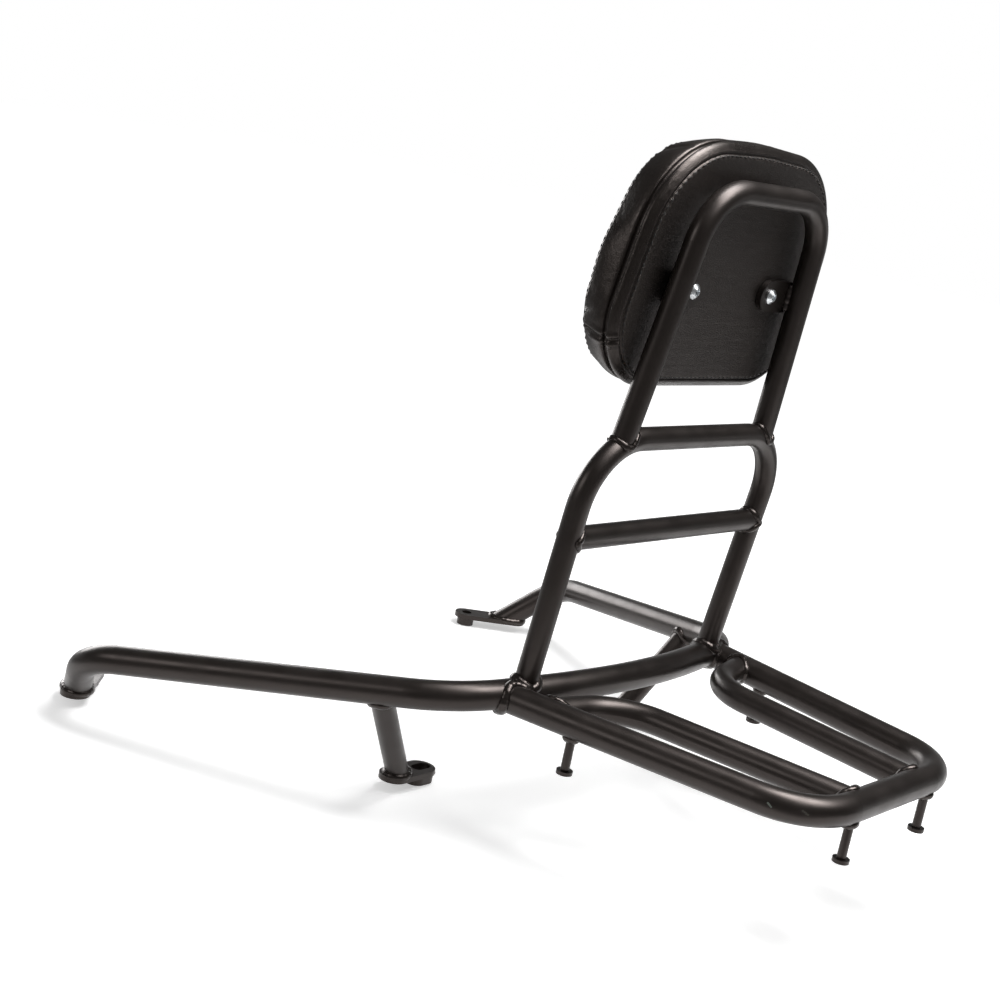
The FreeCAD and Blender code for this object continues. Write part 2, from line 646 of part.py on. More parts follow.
def panel_sketch(body, inset, inset_text):
    """Pad's outline drawn in by an inset: a tapered panel with four rounded corners."""
    sketch = new_sketch(body, "XZ_Plane")
    lean = math.radians(size("pad_side_lean"))
    half, low, top = size("pad_half") - inset, size("pad_low") + inset, size("pad_top") - inset
    low_radius, top_radius = size("pad_low_radius") - inset, size("pad_top_radius") - inset
    outward = Vector(math.cos(lean), math.sin(lean), 0)
    low_centre = Vector(half - low_radius, low + low_radius, 0)
    top_rise = top - top_radius - low_centre.y
    top_shift = (low_radius - top_radius - top_rise * math.sin(lean)) / math.cos(lean)
    top_centre = Vector(low_centre.x + top_shift, top - top_radius, 0)
    low_side = low_centre + outward * low_radius
    top_side = top_centre + outward * top_radius

    def flip(point):
        return Vector(-point.x, point.y, 0)

    degrees = size("pad_side_lean")
    sketch.addGeometry([
        segment(Vector(-low_centre.x, low, 0), Vector(low_centre.x, low, 0)),
        arc(low_centre.x, low_centre.y, low_radius, -90, degrees),
        segment(low_side, top_side),
        arc(top_centre.x, top_centre.y, top_radius, degrees, 90),
        segment(Vector(top_centre.x, top, 0), Vector(-top_centre.x, top, 0)),
        arc(-top_centre.x, top_centre.y, top_radius, 90, 180 - degrees),
        segment(flip(top_side), flip(low_side)),
        arc(-low_centre.x, low_centre.y, low_radius, 180 - degrees, 270),
    ])
    join_tangent(sketch, *((number, 2, (number + 1) % 8, 1) for number in range(8)))
    for first in (0, 4):
        sketch.addConstraint(Sketcher.Constraint("Symmetric", first, 1, first, 2, -2))
    for first, second in ((1, 7), (3, 5)):
        sketch.addConstraint(Sketcher.Constraint("Equal", first, second))
    for name, kind, values, text in (
        ("low_edge", "DistanceY", (-1, 1, 0, 1, low), f"sizes.pad_low + {inset_text}"),
        ("top_edge", "DistanceY", (-1, 1, 4, 1, top), f"sizes.pad_top - ({inset_text})"),
        ("low_radius", "Radius", (1, low_radius), f"sizes.pad_low_radius - ({inset_text})"),
        ("top_radius", "Radius", (3, top_radius), f"sizes.pad_top_radius - ({inset_text})"),
        ("low_centre", "DistanceX", (-1, 1, 1, 3, low_centre.x), "sizes.pad_half - sizes.pad_low_radius"),
        ("side_angle", "Angle", (2, math.pi / 2 + lean), "90 + sizes.pad_side_lean"),
    ):
        sketch.addConstraint(Sketcher.Constraint(kind, *values))
        bind(sketch, name, text)
    return sketch


def panel(name, back, inset, inset_text, thickness):
    """Body of the pad's outline, drawn in by an inset, from a distance ahead of the hoops."""
    body = doc.addObject("PartDesign::Body", name)
    pad_up(body, panel_sketch(body, inset, inset_text), thickness, reverse=True)
    body.Placement = backrest_placement(0, back, 0)
    return body


def screw_line(name, radius, start, end):
    """Pair of rods along the pad screws' axes, between two distances ahead of the hoops."""
    rods = []
    for side in SIDES:
        rod = doc.addObject("Part::Cylinder", name)
        rod.Radius = radius
        rod.Height = end - start
        rod.Placement = backrest_placement(
            side * size("screw_half"), start, size("screw_height"), Rotation(X_AXIS, -90)
        )
        rods.append(rod)
    return rods


def round_edges(body, base, normal_y, radius, name):
    """Rounds the rim of a panel's face that looks along local Y in the given sense."""
    doc.recompute()
    rims = []
    for number, edge in enumerate(base.Shape.Edges, start=1):
        middle = edge.BoundBox.Center
        flat = edge.BoundBox.YLength < 1e-6
        if flat and (middle.y > base.Shape.BoundBox.Center.y) == (normal_y > 0):
            rims.append(f"Edge{number}")
    fillet = body.newObject("PartDesign::Fillet", name)
    fillet.Base = (base, rims)
    fillet.setExpression("Radius", radius)
    return fillet


cushion = panel("cushion", pad_back, 0.0, "0", "sizes.pad_thickness")
back_rim = round_edges(cushion, cushion.Tip, -1, "sizes.pad_back_round", "back_rim")
round_edges(cushion, back_rim, 1, "sizes.pad_front_round", "front_rim")

board = panel("board", board_back, size("board_inset"), "sizes.board_inset", "sizes.board_thickness")
barrel_holes = screw_line("barrel_hole", size("nut_barrel_diameter") / 2, board_back, board_front)
keep(cut(board, *barrel_holes), "pad_backboard")

pocket = panel(
    "board_pocket", board_back - size("soft_gap"), size("board_inset") - size("soft_gap"),
    "sizes.board_inset - sizes.soft_gap", "sizes.board_thickness + 2 * sizes.soft_gap",
)
screw_tip = size("tab_front") - size("tab_thickness") + size("screw_length")
nut_front = board_front + size("nut_flange_height")
flange_pockets = screw_line(
    "flange_pocket", size("nut_flange_diameter") / 2 + size("soft_gap"), board_front,
    max(screw_tip, nut_front) + size("soft_gap"),
)
cover_holes = screw_line("cover_hole", screw_hole[0] / 2, pad_back, board_back)
keep(cut(cushion, pocket, *flange_pockets, *cover_holes), "pad_cushion")

nut_bore = (screw_hole[0] / 2, f"({screw_hole[1]}) / 2")
nut_barrel = (size("nut_barrel_diameter") / 2, "sizes.nut_barrel_diameter / 2")
nut_flange = (size("nut_flange_diameter") / 2, "sizes.nut_flange_diameter / 2")
nut_seat = (size("board_thickness"), "sizes.board_thickness")
nut_end = (
    size("board_thickness") + size("nut_flange_height"),
    "sizes.board_thickness + sizes.nut_flange_height",
)
tee_nut = turned("tee_nut", [
    (nut_bore, ZERO), (nut_barrel, ZERO), (nut_barrel, nut_seat),
    (nut_flange, nut_seat), (nut_flange, nut_end), (nut_bore, nut_end),
])
along_screw = Rotation(X_AXIS, -90)
tee_nut.Placement = backrest_placement(size("screw_half"), board_back, size("screw_height"), along_screw)
keep_pair(tee_nut, "tee_nut")

# Pad screws: button heads with a hexagon socket, on the tabs' rear faces

shank = (size("screw_diameter") / 2, "sizes.screw_diameter / 2")
head_rim = (size("screw_head_diameter") / 2, "sizes.screw_head_diameter / 2")
crown = (size("screw_head_diameter") / 4, "sizes.screw_head_diameter / 4")
crown_height = (-size("screw_head_height"), "-sizes.screw_head_height")
rim_height = (-size("screw_head_height") / 3, "-sizes.screw_head_height / 3")
shank_end = (size("screw_length"), "sizes.screw_length")
screw = turned("pad_screw", [
    (ZERO, crown_height), (crown, crown_height), (head_rim, rim_height), (head_rim, ZERO),
    (shank, ZERO), (shank, shank_end), (ZERO, shank_end),
])
socket_sketch = new_sketch(screw, "XY_Plane", "Socket")
socket_sketch.AttachmentOffset = Placement(Vector(0, 0, -size("screw_head_height")), Rotation())
socket_sketch.setExpression("AttachmentOffset.Base.z", "-sizes.screw_head_height")
corner_radius = size("socket_width") / math.sqrt(3)
corners = [
    Vector(math.cos(math.radians(60 * number)), math.sin(math.radians(60 * number)), 0) * corner_radius
    for number in range(6)
]
for number in range(6):
    socket_sketch.addGeometry(segment(corners[number], corners[(number + 1) % 6]))
    socket_sketch.addConstraint(Sketcher.Constraint("Angle", number, math.radians(120 + 60 * number)))
for number in range(6):
    socket_sketch.addConstraint(Sketcher.Constraint("Coincident", number, 2, (number + 1) % 6, 1))
socket_sketch.addConstraint(Sketcher.Constraint("Symmetric", 0, 1, 3, 1, -1, 1))
for number in (0, 1):
    socket_sketch.addConstraint(Sketcher.Constraint("Distance", -1, 1, number, size("socket_width") / 2))
    bind(socket_sketch, f"flat_{number}", "sizes.socket_width / 2")
doc.recompute()
solid_volume = screw.Shape.Volume
socket = screw.newObject("PartDesign::Pocket", "socket")
socket.Profile = socket_sketch
socket.setExpression("Length", "sizes.socket_depth")
socket.Reversed = True
doc.recompute()
if screw.Shape.Volume >= solid_volume:
    raise RuntimeError("the hexagon socket cuts nothing")
screw.Placement = backrest_placement(
    size("screw_half"), size("tab_front") - size("tab_thickness"), size("screw_height"), along_screw
)
keep_pair(screw, "pad_screw")

# Checks, then one file for each sub-part

doc.recompute()
for item in doc.Objects:
    if {"Invalid", "Error"} & set(item.State):
        raise RuntimeError(f"{item.Label} failed: {item.State}")
for item in subparts:
    if item.Shape.isNull() or not item.Shape.isValid():
        raise RuntimeError(f"{item.Label} has no valid shape")

os.makedirs("parts", exist_ok=True)
for item in subparts:
    item.Shape.exportStep(os.path.join("parts", item.Label + ".step"))
    print(f"{item.Label}: {len(item.Shape.Solids)} solid, {item.Shape.Volume / 1000:.2f} cm3")
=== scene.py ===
"""Scooter rear rack with backrest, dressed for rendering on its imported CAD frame.

The CAD nodes keep their shapes and get finishes. The weld beads, the sewn pad cover and its thread are new
pieces. Lengths are in metres and angles in degrees.
"""

import logging
import math
from collections.abc import Sequence
from dataclasses import dataclass
from enum import Enum
from typing import ClassVar

import bpy
import numpy as np
from mathutils import Matrix

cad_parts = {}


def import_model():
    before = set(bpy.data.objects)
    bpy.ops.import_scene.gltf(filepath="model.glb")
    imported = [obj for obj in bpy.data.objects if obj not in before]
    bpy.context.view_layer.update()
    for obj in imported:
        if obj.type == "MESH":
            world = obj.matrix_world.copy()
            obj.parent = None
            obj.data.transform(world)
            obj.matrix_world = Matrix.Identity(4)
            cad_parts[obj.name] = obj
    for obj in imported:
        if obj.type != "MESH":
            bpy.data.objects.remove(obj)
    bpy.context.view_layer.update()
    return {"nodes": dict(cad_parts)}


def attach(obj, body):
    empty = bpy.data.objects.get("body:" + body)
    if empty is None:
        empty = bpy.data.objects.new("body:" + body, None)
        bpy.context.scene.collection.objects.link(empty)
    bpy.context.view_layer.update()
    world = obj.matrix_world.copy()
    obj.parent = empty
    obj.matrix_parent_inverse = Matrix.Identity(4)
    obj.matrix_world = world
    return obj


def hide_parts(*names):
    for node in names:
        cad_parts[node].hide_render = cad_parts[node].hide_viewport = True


Array = np.ndarray
Material = bpy.types.Material
Object = bpy.types.Object
Socket = bpy.types.NodeSocket
Span = tuple[float, float]
Triple = tuple[float, float, float]

LOG = logging.getLogger("rack_scene")
BODY = "root"
UP = np.array([0.0, 0.0, 1.0])
WHITE = (1.0, 1.0, 1.0, 1.0)


class Side(Enum):
    """Side of the scooter that a paired piece is on, as the sign of its X."""

    RIGHT = 1
    LEFT = -1

    def named(self, piece: str) -> str:
        """Name of this side's copy of a paired piece."""
        return f"{self.name.lower()}_{piece}"


class Slot(Enum):
    """Material slot names of the record."""

    FRAME_COAT = "frame_coat"
    PAD_COVER = "pad_cover"


# Geometry


def unit(vectors: Array) -> Array:
    """Each vector of the last axis, scaled to length one."""
    return vectors / np.linalg.norm(vectors, axis=-1, keepdims=True)


def tangent(degrees: float) -> float:
    """Tangent of an angle in degrees."""
    return math.tan(math.radians(degrees))


def level_direction(degrees: float) -> Array:
    """Level unit vector at an angle from X towards Y."""
    return np.array([math.cos(math.radians(degrees)), math.sin(math.radians(degrees)), 0.0])


def square_axes(direction: Array) -> tuple[Array, Array]:
    """Two unit vectors square to a direction and to each other.

    Args:
        direction: Unit vector.

    Returns:
        The two vectors; the second is the direction crossed with the first.
    """
    helper = np.eye(3)[np.abs(direction).argmin()]
    first = unit(np.cross(direction, helper))
    return first, np.cross(direction, first)


def circle(first: Array, second: Array, count: int) -> Array:
    """Points cos(t) * first + sin(t) * second at even angles t, on the axis before the last."""
    angles = np.linspace(0, 2 * np.pi, count, endpoint=False)[:, None]
    return np.cos(angles) * first + np.sin(angles) * second


def placed(right: Array, up: Array, back: Array, place: Sequence[float]) -> Matrix:
    """Matrix of an object with the given axes and place."""
    return Matrix(np.vstack([np.column_stack([right, up, back, place]), [0, 0, 0, 1]]).tolist())


def rounded_path(corners: Array, radii: Sequence[float], steps: int = 24) -> Array:
    """Line through corners with each inner corner rounded by a tangent arc.

    The arc's points are start + radius * (sin(t) * b + (1 - cos(t)) * c), where b points along the run before
    the corner, c is square to it on the side of the next run, and t goes from nothing to the corner's turn.

    Args:
        corners: Corner points, one a row.
        radii: Arc radius at each inner corner.
        steps: Points on each arc.

    Returns:
        Points of the line, one a row.
    """
    runs = unit(np.diff(corners, axis=0))
    pieces = [corners[:1]]
    for corner, before, after, radius in zip(corners[1:-1], runs[:-1], runs[1:], radii):
        turn = math.acos(float(np.clip(before @ after, -1, 1)))
        start = corner - before * radius * math.tan(turn / 2)
        inward = unit(after - before * (before @ after))
        angles = np.linspace(0, turn, steps)[:, None]
        pieces.append(start + radius * (np.sin(angles) * before + (1 - np.cos(angles)) * inward))
    pieces.append(corners[-1:])
    return np.concatenate(pieces)


def nearest_on_path(points: Array, path: Array) -> Array:
    """Nearest point of a line to each given point.

    Every point is projected on every run of the line, the foot is held between the run's ends, and the
    closest foot is taken.

    Args:
        points: Points, one a row.
        path: The line's points, one a row.

    Returns:
        One point of the line for each given point.
    """
    runs = np.diff(path, axis=0)
    offsets = points[:, None] - path[:-1]
    shares = np.clip((offsets * runs).sum(-1) / (runs * runs).sum(-1), 0, 1)
    feet = path[:-1] + shares[..., None] * runs
    nearest = np.linalg.norm(points[:, None] - feet, axis=-1).argmin(axis=1)
    return feet[np.arange(len(points)), nearest]


def lengths_along(points: Array, closed: bool) -> Array:
    """Length from a line's start to each of its points and, where it is closed, on to the start again."""
    rows = np.concatenate([points, points[:1]]) if closed else points
    return np.concatenate([[0], np.cumsum(np.linalg.norm(np.diff(rows, axis=0), axis=1))])


def round_loop(points: Array, axis: int = 0) -> Array:
    """Difference of the neighbours of each point of a closed line."""
    return np.roll(points, -1, axis=axis) - np.roll(points, 1, axis=axis)


def even_spacing(values: Array, count: int, closed: bool) -> Array:
    """Rows of a line spread evenly along its length.

    Args:
        values: Rows whose first three columns are a place; other columns are carried along.
        count: Rows wanted.
        closed: Whether the last row joins the first.

    Returns:
        The evenly spaced rows.
    """
    rows = np.concatenate([values, values[:1]]) if closed else values
    lengths = lengths_along(rows[:, :3], False)
    places = np.linspace(0, lengths[-1], count, endpoint=not closed)
    return np.stack([np.interp(places, lengths, column) for column in rows.T], axis=1)


def through_knots(knots: Array, places: Array) -> Array:
    """Smooth curve through knots, with each knot's slope taken from its neighbours.

    Between two knots the curve is the cubic with the knots' places and half the difference of their
    neighbours as its ends' slopes.

    Args:
        knots: Knots, one a row.
        places: Where along the curve, counted in knots.

    Returns:
        One row for each place.
    """
    slopes = np.gradient(knots, axis=0)
    index = np.clip(places.astype(int), 0, len(knots) - 2)
    share = (places - index)[:, None]
    start, end = knots[index], knots[index + 1]
    bend = 3 * (end - start) - 2 * slopes[index] - slopes[index + 1]
    twist = 2 * (start - end) + slopes[index] + slopes[index + 1]
    return start + share * (slopes[index] + share * (bend + share * twist))


def spread_moves(points: Array, homes: Array, moves: Array, reach: float) -> Array:
    """Mean move at each point, weighted by exp(-(distance / reach) ** 2).

    Args:
        points: Points to move, one a row.
        homes: Places where moves are known, one a row.
        moves: The known moves, one a row.
        reach: Distance over which a move is felt.

    Returns:
        One move for each point.
    """
    squares = (points**2).sum(1)[:, None] + (homes**2).sum(1) - 2 * points @ homes.T
    weights = np.exp(-squares / reach**2)
    return weights @ moves / weights.sum(axis=1, keepdims=True)


# Meshes


def ring_faces(rings: int, points: int, joined: bool) -> list[list[int]]:
    """Faces of a tube of closed rings.

    Args:
        rings: Number of rings.
        points: Points on each ring.
        joined: Whether the last ring joins the first. Otherwise a pole vertex closes each end: the two poles
            follow the rings' vertices.

    Returns:
        Lists of vertex numbers.
    """
    ring = np.arange(rings if joined else rings - 1)[:, None] * points
    around = np.arange(points)
    beyond = (around + 1) % points
    after = (ring + points) % (rings * points)
    corners = (ring + around, ring + beyond, after + beyond, after + around)
    faces = np.stack(np.broadcast_arrays(*corners), axis=-1).reshape(-1, 4).tolist()
    if joined:
        return faces
    pole, last_ring = np.full(points, rings * points), (rings - 1) * points
    first = np.stack([pole, beyond, around], axis=1)
    last = np.stack([pole + 1, last_ring + around, last_ring + beyond], axis=1)
    return faces + first.tolist() + last.tolist()


def ring_normals(rings: Array) -> Array:
    """Outward directions at the points of a tube of closed rings.

    A direction is the cross product of the differences along the rings and round them, turned away from the
    middle of all points.

    Args:
        rings: Points as rings, points and coordinates.

    Returns:
        Unit vectors in the same order.
    """
    normals = unit(np.cross(np.gradient(rings, axis=0), round_loop(rings, axis=1)))
    outside = (normals * (rings - rings.mean(axis=(0, 1)))).sum()
    return normals if outside > 0 else -normals


def faces_outwards(vertices: Array, faces: list[list[int]]) -> list[list[int]]:
    """Faces turned so that the volume that they enclose is positive.

    The volume is a sixth of the sum, over fans of triangles, of a corner dotted with the cross product of
    the other two.

    Args:
        vertices: Vertices, one a row.
        faces: Lists of vertex numbers of a closed surface.

    Returns:
        The same faces, each reversed where the volume was negative.
    """
    fans = [face[:3] for face in faces] + [[face[0], *face[2:]] for face in faces if len(face) == 4]
    corners = vertices[np.array(fans)]
    volume = (corners[:, 0] * np.cross(corners[:, 1], corners[:, 2])).sum()
    return faces if volume > 0 else [face[::-1] for face in faces]


def mesh_piece(name: str, vertices: Array, faces: list[list[int]]) -> Object:
    """Smooth-shaded mesh object at the origin.

    Args:
        name: Object's name.
        vertices: Vertices, one a row.
        faces: Lists of vertex numbers.

    Returns:
        The object, linked to the scene.
    """
    mesh = bpy.data.meshes.new(name)
    mesh.from_pydata(vertices.tolist(), [], faces)
    mesh.polygons.foreach_set("use_smooth", np.ones(len(mesh.polygons), dtype=bool))
    mesh.update()
    piece = bpy.data.objects.new(name, mesh)
    bpy.context.collection.objects.link(piece)
    return piece


def ring_piece(name: str, rings: Array, joined: bool = False) -> Object:
    """Closed mesh object of a tube of closed rings.

    Args:
        name: Object's name.
        rings: Points as rings, points and coordinates.
        joined: Whether the last ring joins the first. Otherwise the end rings' middles close the ends.

    Returns:
        The object, linked to the scene.
    """
    vertices = rings.reshape(-1, 3)
    if not joined:
        vertices = np.concatenate([vertices, rings[[0, -1]].mean(axis=1)])
    return mesh_piece(name, vertices, faces_outwards(vertices, ring_faces(*rings.shape[:2], joined)))


def coordinates(mesh: bpy.types.Mesh) -> Array:
    """Vertices of a mesh.

    Args:
        mesh: The mesh.

    Returns:
        Coordinates, one vertex a row.
    """
    values = np.empty(3 * len(mesh.vertices), dtype=np.float32)
    mesh.vertices.foreach_get("co", values)
    return values.reshape(-1, 3).astype(float)


def add_piece(piece: Object, finish: Material) -> None:
    """Gives a new piece its finish and its body, and reports it.

    Args:
        piece: The piece.
        finish: Its material.
    """
    piece.data.materials.append(finish)
    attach(piece, BODY)
    LOG.info("piece %s: %d faces", piece.name, len(piece.data.polygons))


def dress_node(node: Object, finish: Material) -> None:
    """Puts a finish in every material slot of a CAD node and reports it.

    Args:
        node: The CAD node's object.
        finish: Its material.
    """
    if not node.material_slots:
        node.data.materials.append(finish)
    for holder in node.material_slots:
        holder.material = finish
    LOG.info("node %s: %s", node.name, finish.name)


@dataclass(frozen=True)
class BackrestLine:
    """Leaning backrest's own frame: across, forward and up the lean from the backrest's foot."""

    setback: float = 0.0785
    rack_height: float = 0.098
    lean: float = 6.4

    def place(self, across: object, forward: object, height: object) -> Array:
        """Points given across, forward and up the lean.

        Forward and height are turned about X by the lean, then moved to the backrest's foot.

        Args:
            across: Distance to the right.
            forward: Distance forward of the uprights' plane.
            height: Distance up the lean.

        Returns:
            Points with the three coordinates on the last axis.
        """
        cosine, sine = math.cos(math.radians(self.lean)), math.sin(math.radians(self.lean))
        across, forward, height = np.broadcast_arrays(across, forward, height)
        return np.stack([
            across + 0.0,
            forward * cosine - height * sine - self.setback,
            forward * sine + height * cosine + self.rack_height,
        ], axis=-1)

    def directions(self) -> Array:
        """Unit vectors across, forward and up the lean, one a row."""
        return self.place(*np.eye(3)) - self.place(0.0, 0.0, 0.0)


# Finishes


MID_NOISE = (0.3, 0.7)


@dataclass(frozen=True)
class Chip:
    """Ragged spot where a cover is marked, with the colour that shows there."""

    place: Triple
    radius: float
    colour: Triple


def scratch(start: Triple, end: Triple, radius: float, colour: Triple) -> tuple[Chip, ...]:
    """Four spots in a row from one end of a scratch to the other."""
    return tuple(Chip(tuple(place), radius, colour) for place in np.linspace(start, end, 4).tolist())


class Shader:
    """Node tree of a material or the world, with short calls that add and join nodes."""

    def __init__(self, holder: Material | bpy.types.World, surface: str = "Principled BSDF") -> None:
        """Starts with the holder's surface node and object coordinates.

        Args:
            holder: Material or world to make.
            surface: Name of the node that shows it.
        """
        holder.use_nodes = True
        self.holder, self.tree = holder, holder.node_tree
        self.surface = self.tree.nodes[surface]
        self.place = self.add("TexCoord", {}).outputs["Object"]

    def feed(self, socket: Socket, value: object) -> None:
        """Joins an input to another node's socket, or sets its value.

        Args:
            socket: The input.
            value: Socket to join, or the input's value.
        """
        if isinstance(value, Socket):
            self.tree.links.new(value, socket)
        else:
            socket.default_value = value

    def add(self, kind: str, inputs: dict[str | int, object], **settings: str) -> bpy.types.Node:
        """Adds a node.

        Args:
            kind: Blender's name of the shader node's type, from its last part on.
            inputs: Values or sockets to join, by the input's name or number.
            **settings: The node's own settings, such as its operation.

        Returns:
            The node.
        """
        node = self.tree.nodes.new(f"ShaderNode{kind}")
        for name, setting in settings.items():
            setattr(node, name, setting)
        for key, value in inputs.items():
            self.feed(node.inputs[key], value)
        return node

    def finish(self, inputs: dict[str, object]) -> Material | bpy.types.World:
        """Sets or joins the inputs of the surface.

        Args:
            inputs: Values or sockets to join, by the input's name.

        Returns:
            The finished material or world.
        """
        for name, value in inputs.items():
            self.feed(self.surface.inputs[name], value)
        return self.holder

    def stretched(self, scale: Triple) -> Socket:
        """Object coordinates times a scale."""
        return self.add("Mapping", {"Vector": self.place, "Scale": scale}).outputs["Vector"]

    def noise(self, pitch: float, detail: float = 2.0, place: Socket | None = None) -> Socket:
        """Noise from 0 to 1 whose lumps are about a pitch apart."""
        inputs = {"Vector": place or self.place, "Scale": 1 / pitch, "Detail": detail}
        return self.add("TexNoise", inputs).outputs["Fac"]

    def cells(self, pitch: float, place: Socket) -> Socket:
        """Distance from the edges of cells that are about a pitch across."""
        inputs = {"Vector": place, "Scale": 1 / pitch}
        return self.add("TexVoronoi", inputs, feature="DISTANCE_TO_EDGE").outputs["Distance"]

    def spread(self, value: Socket, span: Span, to: Span = (0.0, 1.0)) -> Socket:
        """Value carried smoothly from one span to another and held at its ends."""
        inputs = dict(zip(("Value", "From Min", "From Max", "To Min", "To Max"), (value, *span, *to)))
        return self.add("MapRange", inputs, interpolation_type="SMOOTHSTEP").outputs["Result"]

    def times(self, first: Socket, second: Socket) -> Socket:
        """Product of two numbers."""
        return self.add("Math", {0: first, 1: second}, operation="MULTIPLY").outputs[0]

    def plus(self, first: Socket, second: Socket, weight: float = 1.0) -> Socket:
        """First number plus a weight times the second."""
        return self.add("Math", {0: second, 1: weight, 2: first}, operation="MULTIPLY_ADD").outputs[0]

    def colours(self, share: Socket, first: Socket | Triple, second: Triple) -> Socket:
        """Blend of two colours by a share."""
        base = first if isinstance(first, Socket) else (*first, 1.0)
        return self.add("Mix", {"Factor": share, 6: base, 7: (*second, 1.0)}, data_type="RGBA").outputs[2]

    def spot(self, chip: Chip, ragged: float) -> Socket:
        """Mask of a chip's spot.

        Args:
            chip: The spot.
            ragged: Swing of the spot's edge as a share of its radius.

        Returns:
            1 inside the spot and 0 outside it.
        """
        gap = self.add("VectorMath", {0: self.place, 1: chip.place}, operation="DISTANCE").outputs["Value"]
        edge = self.plus(gap, self.noise(chip.radius * 0.8, 3.0), ragged * chip.radius)
        return self.spread(edge, (chip.radius * 1.15, chip.radius * 1.3), (1.0, 0.0))

    def bump(self, height: Socket, depth: float) -> Socket:
        """Surface normal disturbed by a height from 0 to 1 that stands for a depth."""
        return self.add("Bump", {"Height": height, "Distance": depth}).outputs["Normal"]

    def seen(self) -> Socket:
        """Test for rays that show a surface: camera, glossy or transmission rays.

        Returns:
            1 for such rays and 0 for others.
        """
        rays = self.add("LightPath", {}).outputs
        result = rays["Is Camera Ray"]
        for kind in ("Is Glossy Ray", "Is Transmission Ray"):
            result = self.add("Math", {0: result, 1: rays[kind]}, operation="MAXIMUM").outputs[0]
        return result


@dataclass(frozen=True)
class PowderCoat:
    """Satin black powder coat with slight orange peel, drifting gloss and, where given, chips."""

    name: str
    roughness: Span = (0.32, 0.40)
    colour: Triple = (0.0078, 0.0062, 0.0053)
    thin_colour: Triple = (0.0108, 0.0087, 0.0075)
    thin_noise: Span = (0.35, 0.7)
    tint: tuple[float, ...] = (1.0, 0.86, 0.81, 1.0)
    drift_pitch: float = 0.045
    gloss_pitch: float = 0.018
    peel_pitch: float = 0.0016
    peel_depth: float = 0.000012
    chips: tuple[Chip, ...] = ()
    chip_ragged: float = 0.6
    chip_dullness: float = 0.2
    chip_depth: float = 2.0

    def build(self) -> Material:
        """Joins the coat's drifting colour and gloss, its peel and its chips.

        Returns:
            The coat as a material.
        """
        shader = Shader(bpy.data.materials.new(self.name))
        thin = shader.spread(shader.noise(self.drift_pitch, 3.0), self.thin_noise)
        colour = shader.colours(thin, self.colour, self.thin_colour)
        gloss = shader.spread(shader.noise(self.gloss_pitch, 4.0), MID_NOISE, self.roughness)
        height = shader.noise(self.peel_pitch)
        for chip in self.chips:
            mask = shader.spot(chip, self.chip_ragged)
            colour = shader.colours(mask, colour, chip.colour)
            gloss = shader.plus(gloss, mask, self.chip_dullness)
            height = shader.plus(height, mask, -self.chip_depth)
        return shader.finish({
            "Base Color": colour,
            "Roughness": gloss,
            "Specular Tint": self.tint,
            "Normal": shader.bump(height, self.peel_depth),
        })


@dataclass(frozen=True)
class Leatherette:
    """Black grained leatherette: rounded cells with fine pores and painted shade in their valleys, and a
    grainier, duller back panel.
    """

    name: str
    line: BackrestLine
    panel: Span = (0.0122, 0.0135)
    colour: Triple = (0.0105, 0.0084, 0.0072)
    # Painted shade: darker colour in the grain's valleys.
    valley: Triple = (0.0050, 0.0041, 0.0036)
    roughness: Span = (0.26, 0.36)
    panel_roughness: float = 0.14
    tint: tuple[float, ...] = (1.0, 0.86, 0.80, 1.0)
    warp_scale: float = 420.0
    warp: Triple = (0.0011, 0.0011, 0.0011)
    grain_pitch: float = 0.0011
    grain_edge: float = 0.32
    grain_depth: float = 0.00011
    strip_grain: float = 0.35
    pore_pitch: float = 0.0004
    pore_share: float = 0.25
    wrinkle_pitch: float = 0.0045
    wrinkle_stretch: Triple = (0.12, 1.0, 1.0)
    wrinkle_share: float = 2.6
    gloss_pitch: float = 0.03
    # Pin hole: a real dent in the bump, with its dark inside painted shade.
    pin_hole_and_shade: Chip = Chip((-0.0411, -0.0991, 0.3851), 0.0010, (0.002, 0.002, 0.002))
    hole_ragged: float = 0.1
    hole_share: float = 4.0

    def build(self) -> Material:
        """Joins the cells, pores, wrinkles and pin hole, whose dark spot is painted shade; the back panel
        differs by its depth along the line.

        Returns:
            The leatherette as a material.
        """
        shader = Shader(bpy.data.materials.new(self.name))
        warp = shader.add("TexNoise", {"Vector": shader.place, "Scale": self.warp_scale, "Detail": 2.0})
        bent = {0: warp.outputs["Color"], 1: self.warp, 2: shader.place}
        bent = shader.add("VectorMath", bent, operation="MULTIPLY_ADD").outputs["Vector"]
        cells = shader.spread(shader.cells(self.grain_pitch, bent), (0.0, self.grain_edge))
        grain = shader.plus(cells, shader.noise(self.pore_pitch), self.pore_share)
        ahead = self.line.directions()[1]
        depth = shader.add("VectorMath", {0: shader.place, 1: ahead.tolist()}, operation="DOT_PRODUCT")
        foot = float(self.line.place(0.0, 0.0, 0.0) @ ahead)
        edge = (foot + self.panel[0], foot + self.panel[1])
        grain_share = shader.spread(depth.outputs["Value"], edge, (1.0, self.strip_grain))
        dull = shader.spread(depth.outputs["Value"], edge, (self.panel_roughness, 0.0))
        wrinkles = shader.noise(self.wrinkle_pitch, 3.0, shader.stretched(self.wrinkle_stretch))
        # The pin hole's dark spot is painted shade over a bump dent.
        hole = shader.spot(self.pin_hole_and_shade, self.hole_ragged)
        height = shader.plus(shader.times(grain, grain_share), wrinkles, self.wrinkle_share)
        height = shader.plus(height, hole, -self.hole_share)
        # Painted shade: the colour darkens towards the cells' edges, in the grain's valleys.
        colour = shader.colours(cells, self.valley, self.colour)
        gloss = shader.spread(shader.noise(self.gloss_pitch, 4.0), MID_NOISE, self.roughness)
        return shader.finish({
            "Base Color": shader.colours(hole, colour, self.pin_hole_and_shade.colour),
            "Roughness": shader.plus(gloss, dull),
            "Specular Tint": self.tint,
            "Normal": shader.bump(height, self.grain_depth),
        })


